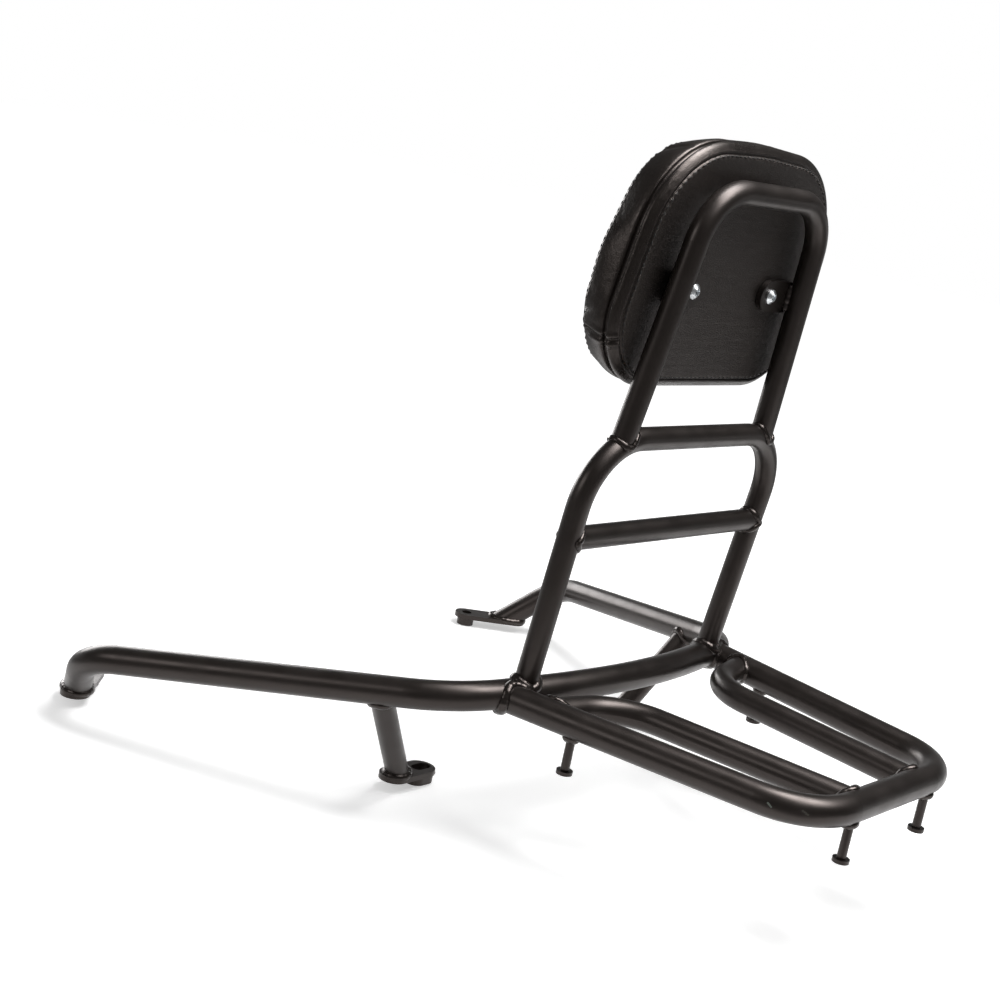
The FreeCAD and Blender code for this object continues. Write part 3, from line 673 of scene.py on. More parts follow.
@dataclass(frozen=True)
class Clouded:
    """Finish whose two colours and roughness follow a noise, with a fine relief of its own.

    The cloud is a noise's pitch and detail, the blend is the span of the noise that carries the first colour
    to the second, and the relief is a noise's pitch and detail and its depth.
    """

    name: str
    colours: tuple[Triple, Triple]
    cloud: Span
    blend: Span
    roughness: Span
    relief: Triple
    metallic: float = 0.0
    stretch: Triple = (1.0, 1.0, 1.0)

    def build(self) -> Material:
        """Joins the cloud and the relief.

        Returns:
            The finish as a material.
        """
        shader = Shader(bpy.data.materials.new(self.name))
        place = shader.stretched(self.stretch)
        cloud = shader.noise(*self.cloud, place)
        pitch, detail, depth = self.relief
        return shader.finish({
            "Base Color": shader.colours(shader.spread(cloud, self.blend), *self.colours),
            "Metallic": self.metallic,
            "Roughness": shader.spread(cloud, MID_NOISE, self.roughness),
            "Normal": shader.bump(shader.noise(pitch, detail, place), depth),
        })


@dataclass(frozen=True)
class Finishes:
    """Built materials, shared by the sub-assemblies."""

    coat: Material
    chipped_coat: Material
    weld: Material
    leatherette: Material
    thread: Material
    zinc: Material
    plywood: Material


RACK_CHIPS = (
    *scratch((-0.1024, -0.2693, 0.0983), (-0.1018, -0.2716, 0.0966), 0.0007, (0.10, 0.12, 0.105)),
    *scratch((-0.0917, -0.2875, 0.0988), (-0.0896, -0.2903, 0.0969), 0.0008, (0.036, 0.036, 0.031)),
)
BONDED_THREAD = Clouded(
    "sewing_thread",
    colours=((0.006, 0.0056, 0.0053), (0.016, 0.015, 0.014)),
    cloud=(0.00035, 2.0),
    blend=(0.4, 0.75),
    roughness=(0.65, 0.85),
    relief=(0.00035, 2.0, 0.00012),
)
BRIGHT_ZINC = Clouded(
    "zinc_plate",
    colours=((0.78, 0.80, 0.82), (0.55, 0.57, 0.58)),
    cloud=(0.0015, 4.0),
    blend=(0.35, 0.7),
    roughness=(0.26, 0.38),
    relief=(0.0006, 2.0, 0.00002),
    metallic=1.0,
)
PLYWOOD = Clouded(
    "plywood",
    colours=((0.52, 0.37, 0.22), (0.30, 0.18, 0.09)),
    cloud=(0.004, 5.0),
    blend=(0.35, 0.65),
    roughness=(0.55, 0.75),
    relief=(0.004, 5.0, 0.0002),
    stretch=(0.12, 1.0, 1.0),
)


# Welds


JOINT_POINTS = 96
JOINT_HALVINGS = 24


@dataclass(frozen=True)
class JointLine:
    """Line where two pieces meet, with the direction out of the corner between them at each point."""

    points: Array
    outward: Array
    closed: bool = True


def tube_on_tube(start: Array, end: Array, radius: float, host: Array, host_radius: float) -> JointLine:
    """Line where a tube's outside meets the outside of the tube that it stands on.

    A point of the line is start + along * direction + radius * (cos(a) * u + sin(a) * v). Along is found for
    all angles at once by halving a span until the point's distance from the host's line is the host's radius.

    Args:
        start: Point of the tube's axis inside the host.
        end: Point of the tube's axis away from the host.
        radius: Tube's outside radius.
        host: Points of the host's axis.
        host_radius: Host's outside radius.

    Returns:
        The joint's line.
    """
    direction = unit(end - start)
    radial = circle(*square_axes(direction), JOINT_POINTS)
    near, far = np.zeros((JOINT_POINTS, 1)), np.full((JOINT_POINTS, 1), 4 * host_radius)
    for _ in range(JOINT_HALVINGS):
        middle = (near + far) / 2
        points = start + radius * radial + middle * direction
        gaps = np.linalg.norm(points - nearest_on_path(points, host), axis=1, keepdims=True)
        near, far = np.where(gaps < host_radius, middle, near), np.where(gaps < host_radius, far, middle)
    points = start + radius * radial + near * direction
    return JointLine(points, unit(radial + unit(points - nearest_on_path(points, host))))


def tube_on_plate(seat: Array, end: Array, radius: float) -> JointLine:
    """Line where a tube meets the level plate that it stands on.

    Each line of the tube's outside is followed along the axis to the height of the seat.

    Args:
        seat: Point where the tube's axis meets the plate.
        end: Point of the tube's axis above the plate.
        radius: Tube's outside radius.

    Returns:
        The joint's line.
    """
    direction = unit(end - seat)
    radial = circle(*square_axes(direction), JOINT_POINTS)
    points = seat + radius * radial - direction * (radius * radial[:, 2:] / direction[2])
    return JointLine(points, unit(radial + UP))


@dataclass(frozen=True)
class WeldBead:
    """Bead of one joint: a rippled round profile carried along the joint's line."""

    name: str
    line: JointLine
    width: float = 0.0023
    ripple_pitch: float = 0.0040
    ripple: float = 0.025
    drift: float = 0.10
    step: float = 0.0005
    fewest_rings: int = 24
    sides: int = 14
    profile: Triple = (0.2, 0.85, 1.15)

    def build(self, finish: Material) -> None:
        """Builds the bead.

        A point at length s and angle a is line(s) + w(s) * (lift * out + tall * cos(a) * out + broad * sin(a) *
        across), where across is square to the line and to out. The width w(s) swings with the ripples and
        drifts slowly, and fades at the ends of an open line.

        Args:
            finish: The bead's material.
        """
        closed = self.line.closed
        length = lengths_along(self.line.points, closed)[-1]
        count = max(self.fewest_rings, round(length / self.step))
        rows = even_spacing(np.concatenate([self.line.points, self.line.outward], axis=1), count, closed)
        points, outward = rows[:, :3], unit(rows[:, 3:])
        along = unit(round_loop(points) if closed else np.gradient(points, axis=0))
        across = unit(np.cross(along, outward))
        share = np.arange(count) / count
        phases = np.random.default_rng(sum(map(ord, self.name))).uniform(0, 2 * np.pi, 4)
        turns = np.array([1, 2, 3, 5])[:, None]
        slow = np.sin(2 * np.pi * turns * share + phases[:, None]).mean(axis=0)
        ripples = max(1, round(length / self.ripple_pitch))
        swing = self.ripple * np.sin(2 * np.pi * ripples * share + 2 * slow)
        width = self.width * (1 + swing + self.drift * 2 * slow)
        if not closed:
            width *= (1 - (2 * np.linspace(0.01, 0.99, count) - 1) ** 6) ** 0.5
        lift, tall, broad = self.profile
        out = outward[:, None]
        section = lift * out + circle(tall * out, broad * across[:, None], self.sides)
        bead = ring_piece(self.name, points[:, None] + width[:, None, None] * section, closed)
        add_piece(bead, finish)


# Sub-assemblies


class WeldedTubes:
    """Sub-assembly of coated CAD nodes, single and paired, whose joints carry weld beads."""

    SINGLES: ClassVar[tuple[str, ...]]
    PAIRS: ClassVar[tuple[str, ...]]
    CHIPPED: ClassVar[tuple[str, ...]] = ("rack_loop_tube",)

    def beads(self, side: Side) -> list[WeldBead]:
        """Weld beads of one side."""
        raise NotImplementedError

    def tube_beads(self, side: Side, joints: dict[str, tuple[tuple, float]]) -> list[WeldBead]:
        """Weld beads of tubes on tubes.

        Args:
            side: Side of the scooter.
            joints: What tube_on_tube takes and the bead's width, by the bead's name.

        Returns:
            The beads in the same order.
        """
        return [
            WeldBead(side.named(name), tube_on_tube(*joint), width) for name, (joint, width) in joints.items()
        ]

    def build(self, finishes: Finishes) -> None:
        """Builds the weld beads of both sides.

        Args:
            finishes: Built materials.
        """
        for side in Side:
            for bead in self.beads(side):
                bead.build(finishes.weld)

    def dress(self, nodes: dict[str, Object], finishes: Finishes) -> None:
        """Coats the nodes.

        Args:
            nodes: CAD nodes by name.
            finishes: Built materials.
        """
        for name in (*self.SINGLES, *(side.named(piece) for side in Side for piece in self.PAIRS)):
            dress_node(nodes[name], finishes.chipped_coat if name in self.CHIPPED else finishes.coat)


@dataclass(frozen=True)
class Bow(WeldedTubes):
    """Bow tube round the seat's back, with its struts, foot plates and bushes."""

    SINGLES = ("bow_tube",)
    PAIRS = ("strut", "front_plate", "front_bush", "rear_plate", "rear_bush")

    backrest: BackrestLine
    tube_radius: float = 0.010
    strut_radius: float = 0.008
    pitch: float = 10.7
    foot_half: float = 0.108
    middle_angle: float = 13.0
    middle_radius: float = 0.410
    corner_half: float = 0.158
    corner_radius: float = 0.072
    splay: float = 23.6
    arm_reach: float = 0.260
    leg_radius: float = 0.042
    front_hole: Span = (0.211, 0.236)
    leg_offset: float = 0.038
    leg_angle: float = 40.0
    strut_forward: float = 0.0615
    strut_seat: float = 0.1255
    rear_slot: Triple = (0.1015, 0.016, 0.009)
    bush_radius: float = 0.0075
    bush_height: float = 0.007
    bush_bead: float = 0.0012
    plate_top: float = 0.011

    def point(self, across: float, forward: float) -> Array:
        """Point of the bow's sloping plane.

        Args:
            across: Distance to the right.
            forward: Distance forward along the slope.

        Returns:
            The point.
        """
        slope = math.radians(self.pitch)
        ahead = forward * math.cos(slope) - self.backrest.setback
        return np.array([across, ahead, self.backrest.rack_height - forward * math.sin(slope)])

    def corner_forward(self) -> float:
        """Where the bow's rear corners lie along its slope."""
        return (self.corner_half - self.foot_half) * tangent(self.middle_angle)

    def arm_half(self, forward: float) -> float:
        """Distance of an arm from the middle at a place along the slope."""
        return self.corner_half + (forward - self.corner_forward()) * tangent(self.splay)

    def leg_seat(self, side: Side) -> Array:
        """Point where a front leg's axis meets its foot plate."""
        aside, ahead = (self.front_hole + self.leg_offset * level_direction(-self.leg_angle)[:2]).tolist()
        return np.array([side.value * aside, ahead, self.plate_top])

    def arm_end(self, side: Side) -> Array:
        """Corner between an arm and its front leg."""
        return self.point(side.value * self.arm_half(self.arm_reach), self.arm_reach)

    def half_corners(self, side: Side) -> list[Array]:
        """Corners of one side of the bow's axis from its foot to its rear corner."""
        corner = self.point(side.value * self.corner_half, self.corner_forward())
        return [self.leg_seat(side), self.arm_end(side), corner]

    def path(self) -> Array:
        """Bow's axis from the left foot round the back to the right foot.

        Returns:
            Points, one a row.
        """
        middle = self.point(0.0, -self.foot_half * tangent(self.middle_angle))
        corners = [*self.half_corners(Side.LEFT), middle, *self.half_corners(Side.RIGHT)[::-1]]
        bends = (self.leg_radius, self.corner_radius)
        return rounded_path(np.array(corners), (*bends, self.middle_radius, *bends[::-1]))

    def bush_line(self, side: Side, front: bool) -> JointLine:
        """Line round the top of a bush, where it meets the underside of its plate.

        Args:
            side: Side of the scooter.
            front: Whether it is the round front bush; the rear bush is as oblong as its slot.

        Returns:
            The joint's line.
        """
        radial = circle(*np.eye(3)[:2], JOINT_POINTS)
        half, slot_length, slot_width = self.rear_slot
        centre = np.array([side.value * half, 0.0, self.bush_height])
        oblong = (slot_length - slot_width) / 2
        if front:
            centre[:2], oblong = (side.value * self.front_hole[0], self.front_hole[1]), 0.0
        points = centre + self.bush_radius * radial + oblong * np.sign(radial) * np.eye(3)[0]
        return JointLine(points, unit(radial - UP))

    def beads(self, side: Side) -> list[WeldBead]:
        """Weld beads of one side's leg, strut and bushes.

        Args:
            side: Side of the scooter.

        Returns:
            The beads.
        """
        seat = np.array([side.value * self.strut_seat, 0.0, self.plate_top])
        top = self.point(side.value * self.arm_half(self.strut_forward), self.strut_forward)
        lines = {
            "leg_weld": tube_on_plate(self.leg_seat(side), self.arm_end(side), self.tube_radius),
            "strut_foot_weld": tube_on_plate(seat, top, self.strut_radius),
            "strut_top_weld": tube_on_tube(top, seat, self.strut_radius, self.path(), self.tube_radius),
        }
        bushes = {"front_bush_weld": True, "rear_bush_weld": False}
        return [
            *(WeldBead(side.named(name), line) for name, line in lines.items()),
            *(
                WeldBead(side.named(name), self.bush_line(side, front), self.bush_bead)
                for name, front in bushes.items()
            ),
        ]


@dataclass(frozen=True)
class RackDeck(WeldedTubes):
    """Flat rack behind the backrest: the loop tube, the two inner tubes and the strap pegs."""

    SINGLES = ("rack_loop_tube",)
    PAIRS = ("inner_tube", "front_peg", "rear_peg")

    bow: Bow
    drop: float = 0.002
    loop_radius: float = 0.010
    inner_radius: float = 0.009
    peg_radius: float = 0.003
    rail_start: float = 0.002
    half: float = 0.122
    taper: float = 8.6
    length: float = 0.218
    corner_radius: float = 0.045
    inner_rear_half: float = 0.0385
    inner_splay: float = 5.7
    inner_front_rear: float = 0.028
    inner_front_angle: float = 13.0
    peg_front_rear: float = 0.0505
    peg_rear_half: float = 0.050
    peg_rear_set: float = 0.003
    peg_drop: float = 0.0345
    rail_bead: float = 0.0029
    inner_bead: float = 0.0022
    peg_bead: float = 0.0026

    def place(self, across: float, rearward: float) -> Array:
        """Point of the rack's level plane, across and behind the backrest's foot."""
        line = self.bow.backrest
        return np.array([across, -line.setback - rearward, line.rack_height - self.drop])

    def rail_half(self, rearward: float) -> float:
        """Distance of a rail from the middle at a place behind the backrest's foot."""
        return self.half - (rearward - self.rail_start) * tangent(self.taper)

    def on_rail(self, side: Side, rearward: float) -> Array:
        """Point of a rail's axis at a place behind the backrest's foot."""
        return self.place(side.value * self.rail_half(rearward), rearward)

    def path(self) -> Array:
        """Loop's axis from the left rail round the rear bar to the right rail.

        Returns:
            Points, one a row.
        """
        ends = (self.rail_start, self.length)
        left, right = ([self.on_rail(side, end) for end in ends] for side in (Side.LEFT, Side.RIGHT))
        return rounded_path(np.array([*left, *right[::-1]]), (self.corner_radius, self.corner_radius))

    def beads(self, side: Side) -> list[WeldBead]:
        """Weld beads of one side's rail, inner tube and pegs.

        Args:
            side: Side of the scooter.

        Returns:
            The beads.
        """
        sign, bow = side.value, self.bow
        root = -(self.half - bow.foot_half) * tangent(bow.middle_angle)
        rear_end = self.place(sign * self.inner_rear_half, self.length)
        rear_run = rear_end + np.array([sign * tangent(self.inner_splay), 1.0, 0.0])
        front_end = self.on_rail(side, self.inner_front_rear)
        front_run = front_end - np.array([sign, tangent(self.inner_front_angle), 0.0])
        front_peg = self.on_rail(side, self.peg_front_rear)
        rear_peg = self.place(sign * self.peg_rear_half, self.length + self.peg_rear_set)
        down = -self.peg_drop * UP
        on_bow, on_loop = (bow.path(), bow.tube_radius), (self.path(), self.loop_radius)
        rail = (self.on_rail(side, root), self.on_rail(side, self.length), self.loop_radius, *on_bow)
        return self.tube_beads(side, {
            "rail_weld": (rail, self.rail_bead),
            "inner_rear_weld": ((rear_end, rear_run, self.inner_radius, *on_loop), self.inner_bead),
            "inner_front_weld": ((front_end, front_run, self.inner_radius, *on_loop), self.inner_bead),
            "front_peg_weld": ((front_peg, front_peg + down, self.peg_radius, *on_loop), self.peg_bead),
            "rear_peg_weld": ((rear_peg, rear_peg + down, self.peg_radius, *on_loop), self.peg_bead),
        })


@dataclass(frozen=True)
class Backrest(WeldedTubes):
    """Two hoops of the backrest, the crossbar and the tabs that carry the pad."""

    SINGLES = ("lower_hoop", "crossbar", "upper_hoop")
    PAIRS = ("pad_tab",)

    bow: Bow
    tube_radius: float = 0.008
    lower_lean: float = -1.0
    lower_top: float = 0.179
    lower_bend: float = 0.046
    crossbar_height: float = 0.111
    upper_half: float = 0.084
    upper_lean: float = 5.2
    upper_foot: float = 0.176
    upper_top: float = 0.347
    tab_height: float = 0.2785
    tab_bead_half: float = 0.00924
    tab_bead_inset: float = 0.0066
    tab_bead_back: float = 0.0058
    upright_bead: float = 0.0030
    hoop_bead: float = 0.0020
    tab_bead: float = 0.0022
    tab_ripple: Span = (0.0060, 0.03)

    def lower_half(self, height: float) -> float:
        """Distance of a lower leg from the middle at a height."""
        return self.bow.foot_half - height * tangent(self.lower_lean)

    def upper_leg_half(self, height: float) -> float:
        """Distance of an upper leg from the middle at a height."""
        return self.upper_half - (height - self.lower_top) * tangent(self.upper_lean)

    def lower_path(self) -> Array:
        """Lower hoop's axis from the left foot to the right foot.

        Returns:
            Points, one a row.
        """
        foot, top = self.bow.foot_half, self.lower_half(self.lower_top)
        across = np.array([-foot, -top, top, foot])
        corners = self.bow.backrest.place(across, 0.0, np.array([0, self.lower_top, self.lower_top, 0]))
        return rounded_path(corners, (self.lower_bend, self.lower_bend))

    def tab_line(self, side: Side) -> JointLine:
        """Line of the short bead in the wedge between a tab's back and its hoop leg.

        Args:
            side: Side of the scooter.

        Returns:
            The joint's open line.
        """
        heights = self.tab_height + np.linspace(-self.tab_bead_half, self.tab_bead_half, 40)
        across = side.value * (self.upper_leg_half(heights) - self.tab_bead_inset)
        points = self.bow.backrest.place(across, self.tab_bead_back, heights)
        outward = self.bow.backrest.directions().T @ unit(np.array([-side.value, -0.6, 0.0]))
        return JointLine(points, np.broadcast_to(outward, points.shape), closed=False)

    def beads(self, side: Side) -> list[WeldBead]:
        """Weld beads of one side's upright, crossbar end, upper leg and tab.

        Args:
            side: Side of the scooter.

        Returns:
            The beads.
        """
        def point(half: float, height: float) -> Array:
            """Point of the uprights' plane on this side."""
            return self.bow.backrest.place(side.value * half, 0.0, height)

        leg = point(self.lower_half(self.crossbar_height), self.crossbar_height)
        upper = [point(self.upper_leg_half(height), height) for height in (self.upper_foot, self.upper_top)]
        radius = self.tube_radius
        on_bow, on_hoop = (self.bow.path(), self.bow.tube_radius), (self.lower_path(), radius)
        beads = self.tube_beads(side, {
            "upright_weld": ((point(self.bow.foot_half, 0.0), leg, radius, *on_bow), self.upright_bead),
            "crossbar_weld": ((leg, point(0.0, self.crossbar_height), radius, *on_hoop), self.hoop_bead),
            "upper_hoop_weld": ((*upper, radius, *on_hoop), self.hoop_bead),
        })
        return [*beads, WeldBead(side.named("tab_weld"), self.tab_line(side), self.tab_bead, *self.tab_ripple)]


@dataclass(frozen=True)
class Stitching:
    """Row of stitches along a seam of the pad, set in behind the seam's middle."""

    name: str
    pitch: float
    length: float
    radius: float
    inset: float
    rings: int = 6
    sides: int = 6
    sink: float = 0.3

    def turns(self, seam: Array) -> Array:
        """Count of stitches from a closed seam's start to each of its points."""
        lengths = lengths_along(seam, True)
        return lengths[:-1] / lengths[-1] * round(lengths[-1] / self.pitch)

    def build(self, seam: Array, normals: Array, finish: Material) -> None:
        """Builds every stitch of the row at once.

        A stitch is a thread whose axis is base + (t - 0.5) * length * along + (sin(pi * t) - sink) * radius *
        out, with a round section that thins to nothing at both ends.

        Args:
            seam: Points of the closed seam, one a row.
            normals: Outward direction at each seam point.
            finish: Thread's material.
        """
        count = round(lengths_along(seam, True)[-1] / self.pitch)
        rows = even_spacing(np.concatenate([seam, normals], axis=1), count, True)
        base, out = rows[:, None, :3], unit(rows[:, None, 3:])
        along = unit(round_loop(base))
        share = np.linspace(0.08, 0.92, self.rings)[:, None]
        lift = self.radius * (np.sin(np.pi * share) - self.sink)
        thick = self.radius * np.sin(np.pi * share) ** 0.45
        axis = base + (share - 0.5) * self.length * along + lift * out
        rings = axis[:, :, None] + thick[:, None] * circle(out, np.cross(along, out), self.sides)[:, None]
        poles = base + np.array([[-0.5], [0.5]]) * self.length * along
        each = np.concatenate([rings.reshape(count, -1, 3), poles], axis=1)
        one = faces_outwards(each[0], ring_faces(self.rings, self.sides, False))
        starts = range(0, count * each.shape[1], each.shape[1])
        faces = [[start + corner for corner in face] for start in starts for face in one]
        add_piece(mesh_piece(self.name, each.reshape(-1, 3), faces), finish)


BACK_STITCHES = Stitching("back_seam_stitches", pitch=0.0050, length=0.0034, radius=0.00045, inset=0.0016)
FRONT_STITCHES = Stitching("front_seam_stitches", pitch=0.0050, length=0.0038, radius=0.00055, inset=0.0006)


@dataclass(frozen=True)
class Valley:
    """Soft valley or, with a negative depth, ridge in the pad's cover."""

    depth: float
    width: float

    def height(self, distance: Array) -> Array:
        """Height at a distance from the middle: -depth * exp(-(distance / width) ** 2)."""
        return -self.depth * np.exp(-((distance / self.width) ** 2))


@dataclass(frozen=True)
class Gathers:
    """Random gathers across the boxing: how many there are, and the spans of their sizes, widths and leans."""

    loose: int = 26
    at_corners: int = 16
    size: Span = (-0.0011, 0.0008)
    width: Span = (0.0025, 0.0060)
    lean: Span = (-0.6, 0.6)
    seed: int = 7

    def height(self, outline: Array, corner_points: Array, past: Array) -> Array:
        """Height of the gathers before they fade.

        A gather is size * exp(-(gap / width) ** 2), where gap is the distance round the outline from the
        gather's home, less its lean times the distance past the front seam.

        Args:
            outline: Evenly spaced points of the closed outline, one a row.
            corner_points: Numbers of the points at the low corners.
            past: Distance of each rim row past the front seam, as a column.

        Returns:
            Heights as rim rows and outline points.
        """
        count, girth = len(outline), lengths_along(outline, True)[-1]
        rng = np.random.default_rng(self.seed)
        loose = rng.uniform(0, 1, self.loose)
        homes = np.concatenate([loose, rng.choice(corner_points, self.at_corners) / count])
        sizes, widths, leans = (rng.uniform(*span, len(homes)) for span in (self.size, self.width, self.lean))
        around = np.linspace(0, 1, count, endpoint=False)[:, None]
        gap = (around - homes) * girth - leans * past[..., None]
        gap = (gap + girth / 2) % girth - girth / 2
        return (sizes * np.exp(-((gap / widths) ** 2))).sum(axis=-1)


@dataclass(frozen=True)
class BackPad:
    """Sewn pad of the backrest: a flat back panel, a rolled strip, a boxing and a crowned front panel.

    Each outline corner is a place across, a height and a radius. Each rim knot is a depth and a growth, and
    the seams' places are counted in knots.
    """

    backrest: BackrestLine
    back: float = 0.0115
    low: float = 0.2098
    front_low: float = 0.2112
    back_corners: tuple[Triple, ...] = (
        (0.1174, 0.2098, 0.052),
        (0.1028, 0.3714, 0.069),
        (0.0000, 0.3763, 0.250),
    )
    front_corners: tuple[Triple, ...] = (
        (0.1111, 0.2112, 0.059),
        (0.1094, 0.2954, 0.062),
        (0.0886, 0.3625, 0.052),
        (0.0000, 0.3706, 0.250),
    )
    columns: int = 680
    panel_rows: int = 22
    rim_rows: int = 88
    corner_steps: int = 40
    front_crown: float = 0.0045
    rim_knots: tuple[Span, ...] = (
        (0.0000, -0.0095),
        (0.0002, -0.0070),
        (0.0012, -0.0044),
        (0.0042, -0.0006),
        (0.0070, 0.0003),
        (0.0097, -0.0012),
        (0.0125, 0.0002),
        (0.0180, 0.0012),
        (0.0235, 0.0017),
        (0.0285, 0.0013),
        (0.0320, 0.0000),
        (0.0345, -0.0045),
        (0.0358, -0.0100),
    )
    back_seam: float = 1.4
    crease: float = 5.0
    front_seam: float = 10.0
    back_groove: Valley = Valley(0.0014, 0.0010)
    thread_bed: Valley = Valley(0.0005, 0.0010)
    crease_fold: Valley = Valley(0.0017, 0.0016)
    front_groove: Valley = Valley(0.0009, 0.0012)
    pucker: float = 0.35
    cross_groove: Valley = Valley(0.0012, 0.0013)
    cross_ridge: Valley = Valley(-0.0008, 0.0018)
    cross_ridge_gap: float = 0.0028
    cross_height: float = 0.240
    cross_half: float = 0.08
    cross_fades: Span = (0.0020, 0.0040)
    gathers: Gathers = Gathers()
    gather_height: float = 0.255
    gather_half: float = 0.06
    gather_overrun: float = 0.003
    voxel: float = 0.005
    pressure: float = 4.0
    largest_swell: float = 0.004
    held_panel: float = 0.002
    held_seam: float = 0.0022
    hold: float = 0.9
    cloth_quality: int = 6
    cloth_frames: int = 20

    def outline(self, low: float, corners: Sequence[Triple]) -> Array:
        """Closed outline across and up the lean, spread evenly from the low edge's middle.

        Args:
            low: Height of the low edge.
            corners: Right side's corners from low to top; the last is on the middle.

        Returns:
            Points, one a row.
        """
        right = np.array(corners)
        both = np.concatenate([right, right[-2::-1] * np.array([-1, 1, 1])])
        ends = np.array([[0.0, low, 0.0]])
        flat = np.concatenate([ends, both, ends]) * np.array([1, 1, 0])
        line = rounded_path(flat, both[:, 2], self.corner_steps)
        return even_spacing(line[:-1], self.columns, True)[:, :2]

    def walls(self) -> Array:
        """Rim rings across and up the lean.

        A ring is a blend of the back outline and the front outline, which takes over smoothly between the
        crease and the front seam, grown outwards by the row's growth.

        Returns:
            Points as rings, points and the two distances.
        """
        rim = self.rim()[0]
        start, end = self.rim_depth(self.crease), self.rim_depth(self.front_seam)
        share = np.clip((rim[:, 0] - start) / (end - start), 0, 1)[:, None, None]
        share = share * share * (3 - 2 * share)
        back = self.outline(self.low, self.back_corners)
        line = back + share * (self.outline(self.front_low, self.front_corners) - back)
        along = unit(round_loop(line, axis=1))
        outward = np.stack([along[..., 1], -along[..., 0]], axis=-1)
        return line + rim[:, 1, None, None] * outward

    def rim(self) -> tuple[Array, Array]:
        """Depths and growths of the rim's rows, and the rows' lengths from the rim's start."""
        rows = through_knots(np.array(self.rim_knots), np.linspace(0, len(self.rim_knots) - 1, self.rim_rows))
        return rows, lengths_along(rows, False)

    def rim_depth(self, place: float) -> float:
        """Depth of a place on the rim counted in knots."""
        return float(through_knots(np.array(self.rim_knots), np.array([place]))[0, 0])

    def rim_length(self, place: float) -> float:
        """Length from the rim's start to a place counted in knots."""
        places = np.linspace(0, len(self.rim_knots) - 1, self.rim_rows)
        return float(np.interp(place, places, self.rim()[1]))

    def stitch_row(self, row: Stitching, place: float) -> int:
        """Number of the rim's row nearest to the stitches of the seam at a place counted in knots."""
        return int(np.abs(self.rim()[1] - (self.rim_length(place) - row.inset)).argmin())

    def stitch_wave(self, row: Stitching, place: float) -> Array:
        """Wave round the rim that is 1 at each stitch's turn and -1 between two turns."""
        return np.cos(2 * np.pi * row.turns(self.walls()[self.stitch_row(row, place)]))

    def smooth_form(self) -> Array:
        """Cover without seams: rings from the middle of the back panel round the rim to the front's middle.

        Rim rings are walls at the rows' depths. A panel ring is the rim's end ring shrunk towards the pad's
        middle by a share, and the front panel's crown is 1 - share squared.

        Returns:
            Points as rings, points and coordinates.
        """
        rim, walls = self.rim()[0], self.walls()
        middle = walls[0].mean(axis=0)
        shares = np.linspace(0.02, 1, self.panel_rows, endpoint=False)[:, None, None]
        back = middle + shares * (walls[0] - middle)
        front = middle + shares[::-1] * (walls[-1] - middle)
        flat = np.concatenate([back, walls, front])
        crown = rim[-1, 0] + self.front_crown * (1 - shares[::-1, 0, 0] ** 2)
        depth = np.concatenate([np.full(self.panel_rows, rim[0, 0]), rim[:, 0], crown])
        return self.backrest.place(flat[..., 0], self.back + depth[:, None], flat[..., 1])

    def swell(self, form: Array) -> Array:
        """Cover swollen by its filling.

        A coarse copy is simulated as cloth under pressure, held at the back panel and at the seams. Each
        point of the cover then moves by the mean of the copy's capped moves near it.

        Args:
            form: Smooth form's points as rings, points and coordinates.

        Returns:
            Moved points in the same order.
        """
        cage = ring_piece("pad_cage", form)
        remesh = cage.modifiers.new("even_cells", "REMESH")
        remesh.mode, remesh.voxel_size = "VOXEL", self.voxel
        cage.data = bpy.data.meshes.new_from_object(cage.evaluated_get(bpy.context.evaluated_depsgraph_get()))
        cage.modifiers.clear()
        rest = coordinates(cage.data)
        depth = (rest - self.backrest.place(0.0, self.back, 0.0)) @ self.backrest.directions()[1]
        seams = np.array([self.rim_depth(place) for place in (self.crease, self.front_seam)])
        near_seam = (np.abs(depth[:, None] - seams) < self.held_seam).any(axis=1)
        held = np.flatnonzero((depth < self.held_panel) | near_seam).tolist()
        cage.vertex_groups.new(name="held").add(held, self.hold, "REPLACE")
        cloth = cage.modifiers.new("filling", "CLOTH").settings
        cloth.quality = self.cloth_quality
        cloth.use_pressure = True
        cloth.uniform_pressure_force = self.pressure
        cloth.effector_weights.gravity = 0.0
        cloth.vertex_group_mass = "held"
        for number in range(1, self.cloth_frames + 1):
            bpy.context.scene.frame_set(number)
        moves = coordinates(cage.evaluated_get(bpy.context.evaluated_depsgraph_get()).to_mesh()) - rest
        bpy.data.objects.remove(cage)
        bpy.context.scene.frame_set(1)
        size = np.linalg.norm(moves, axis=1, keepdims=True)
        moves *= np.minimum(1, self.largest_swell / np.maximum(size, 1e-9))
        LOG.info("pad swell: up to %.1f mm", 1000 * size.max())
        parts = np.array_split(form.reshape(-1, 3), 60)
        parts = [spread_moves(part, rest, moves, 1.2 * self.voxel) for part in parts]
        return form + np.concatenate(parts).reshape(form.shape)

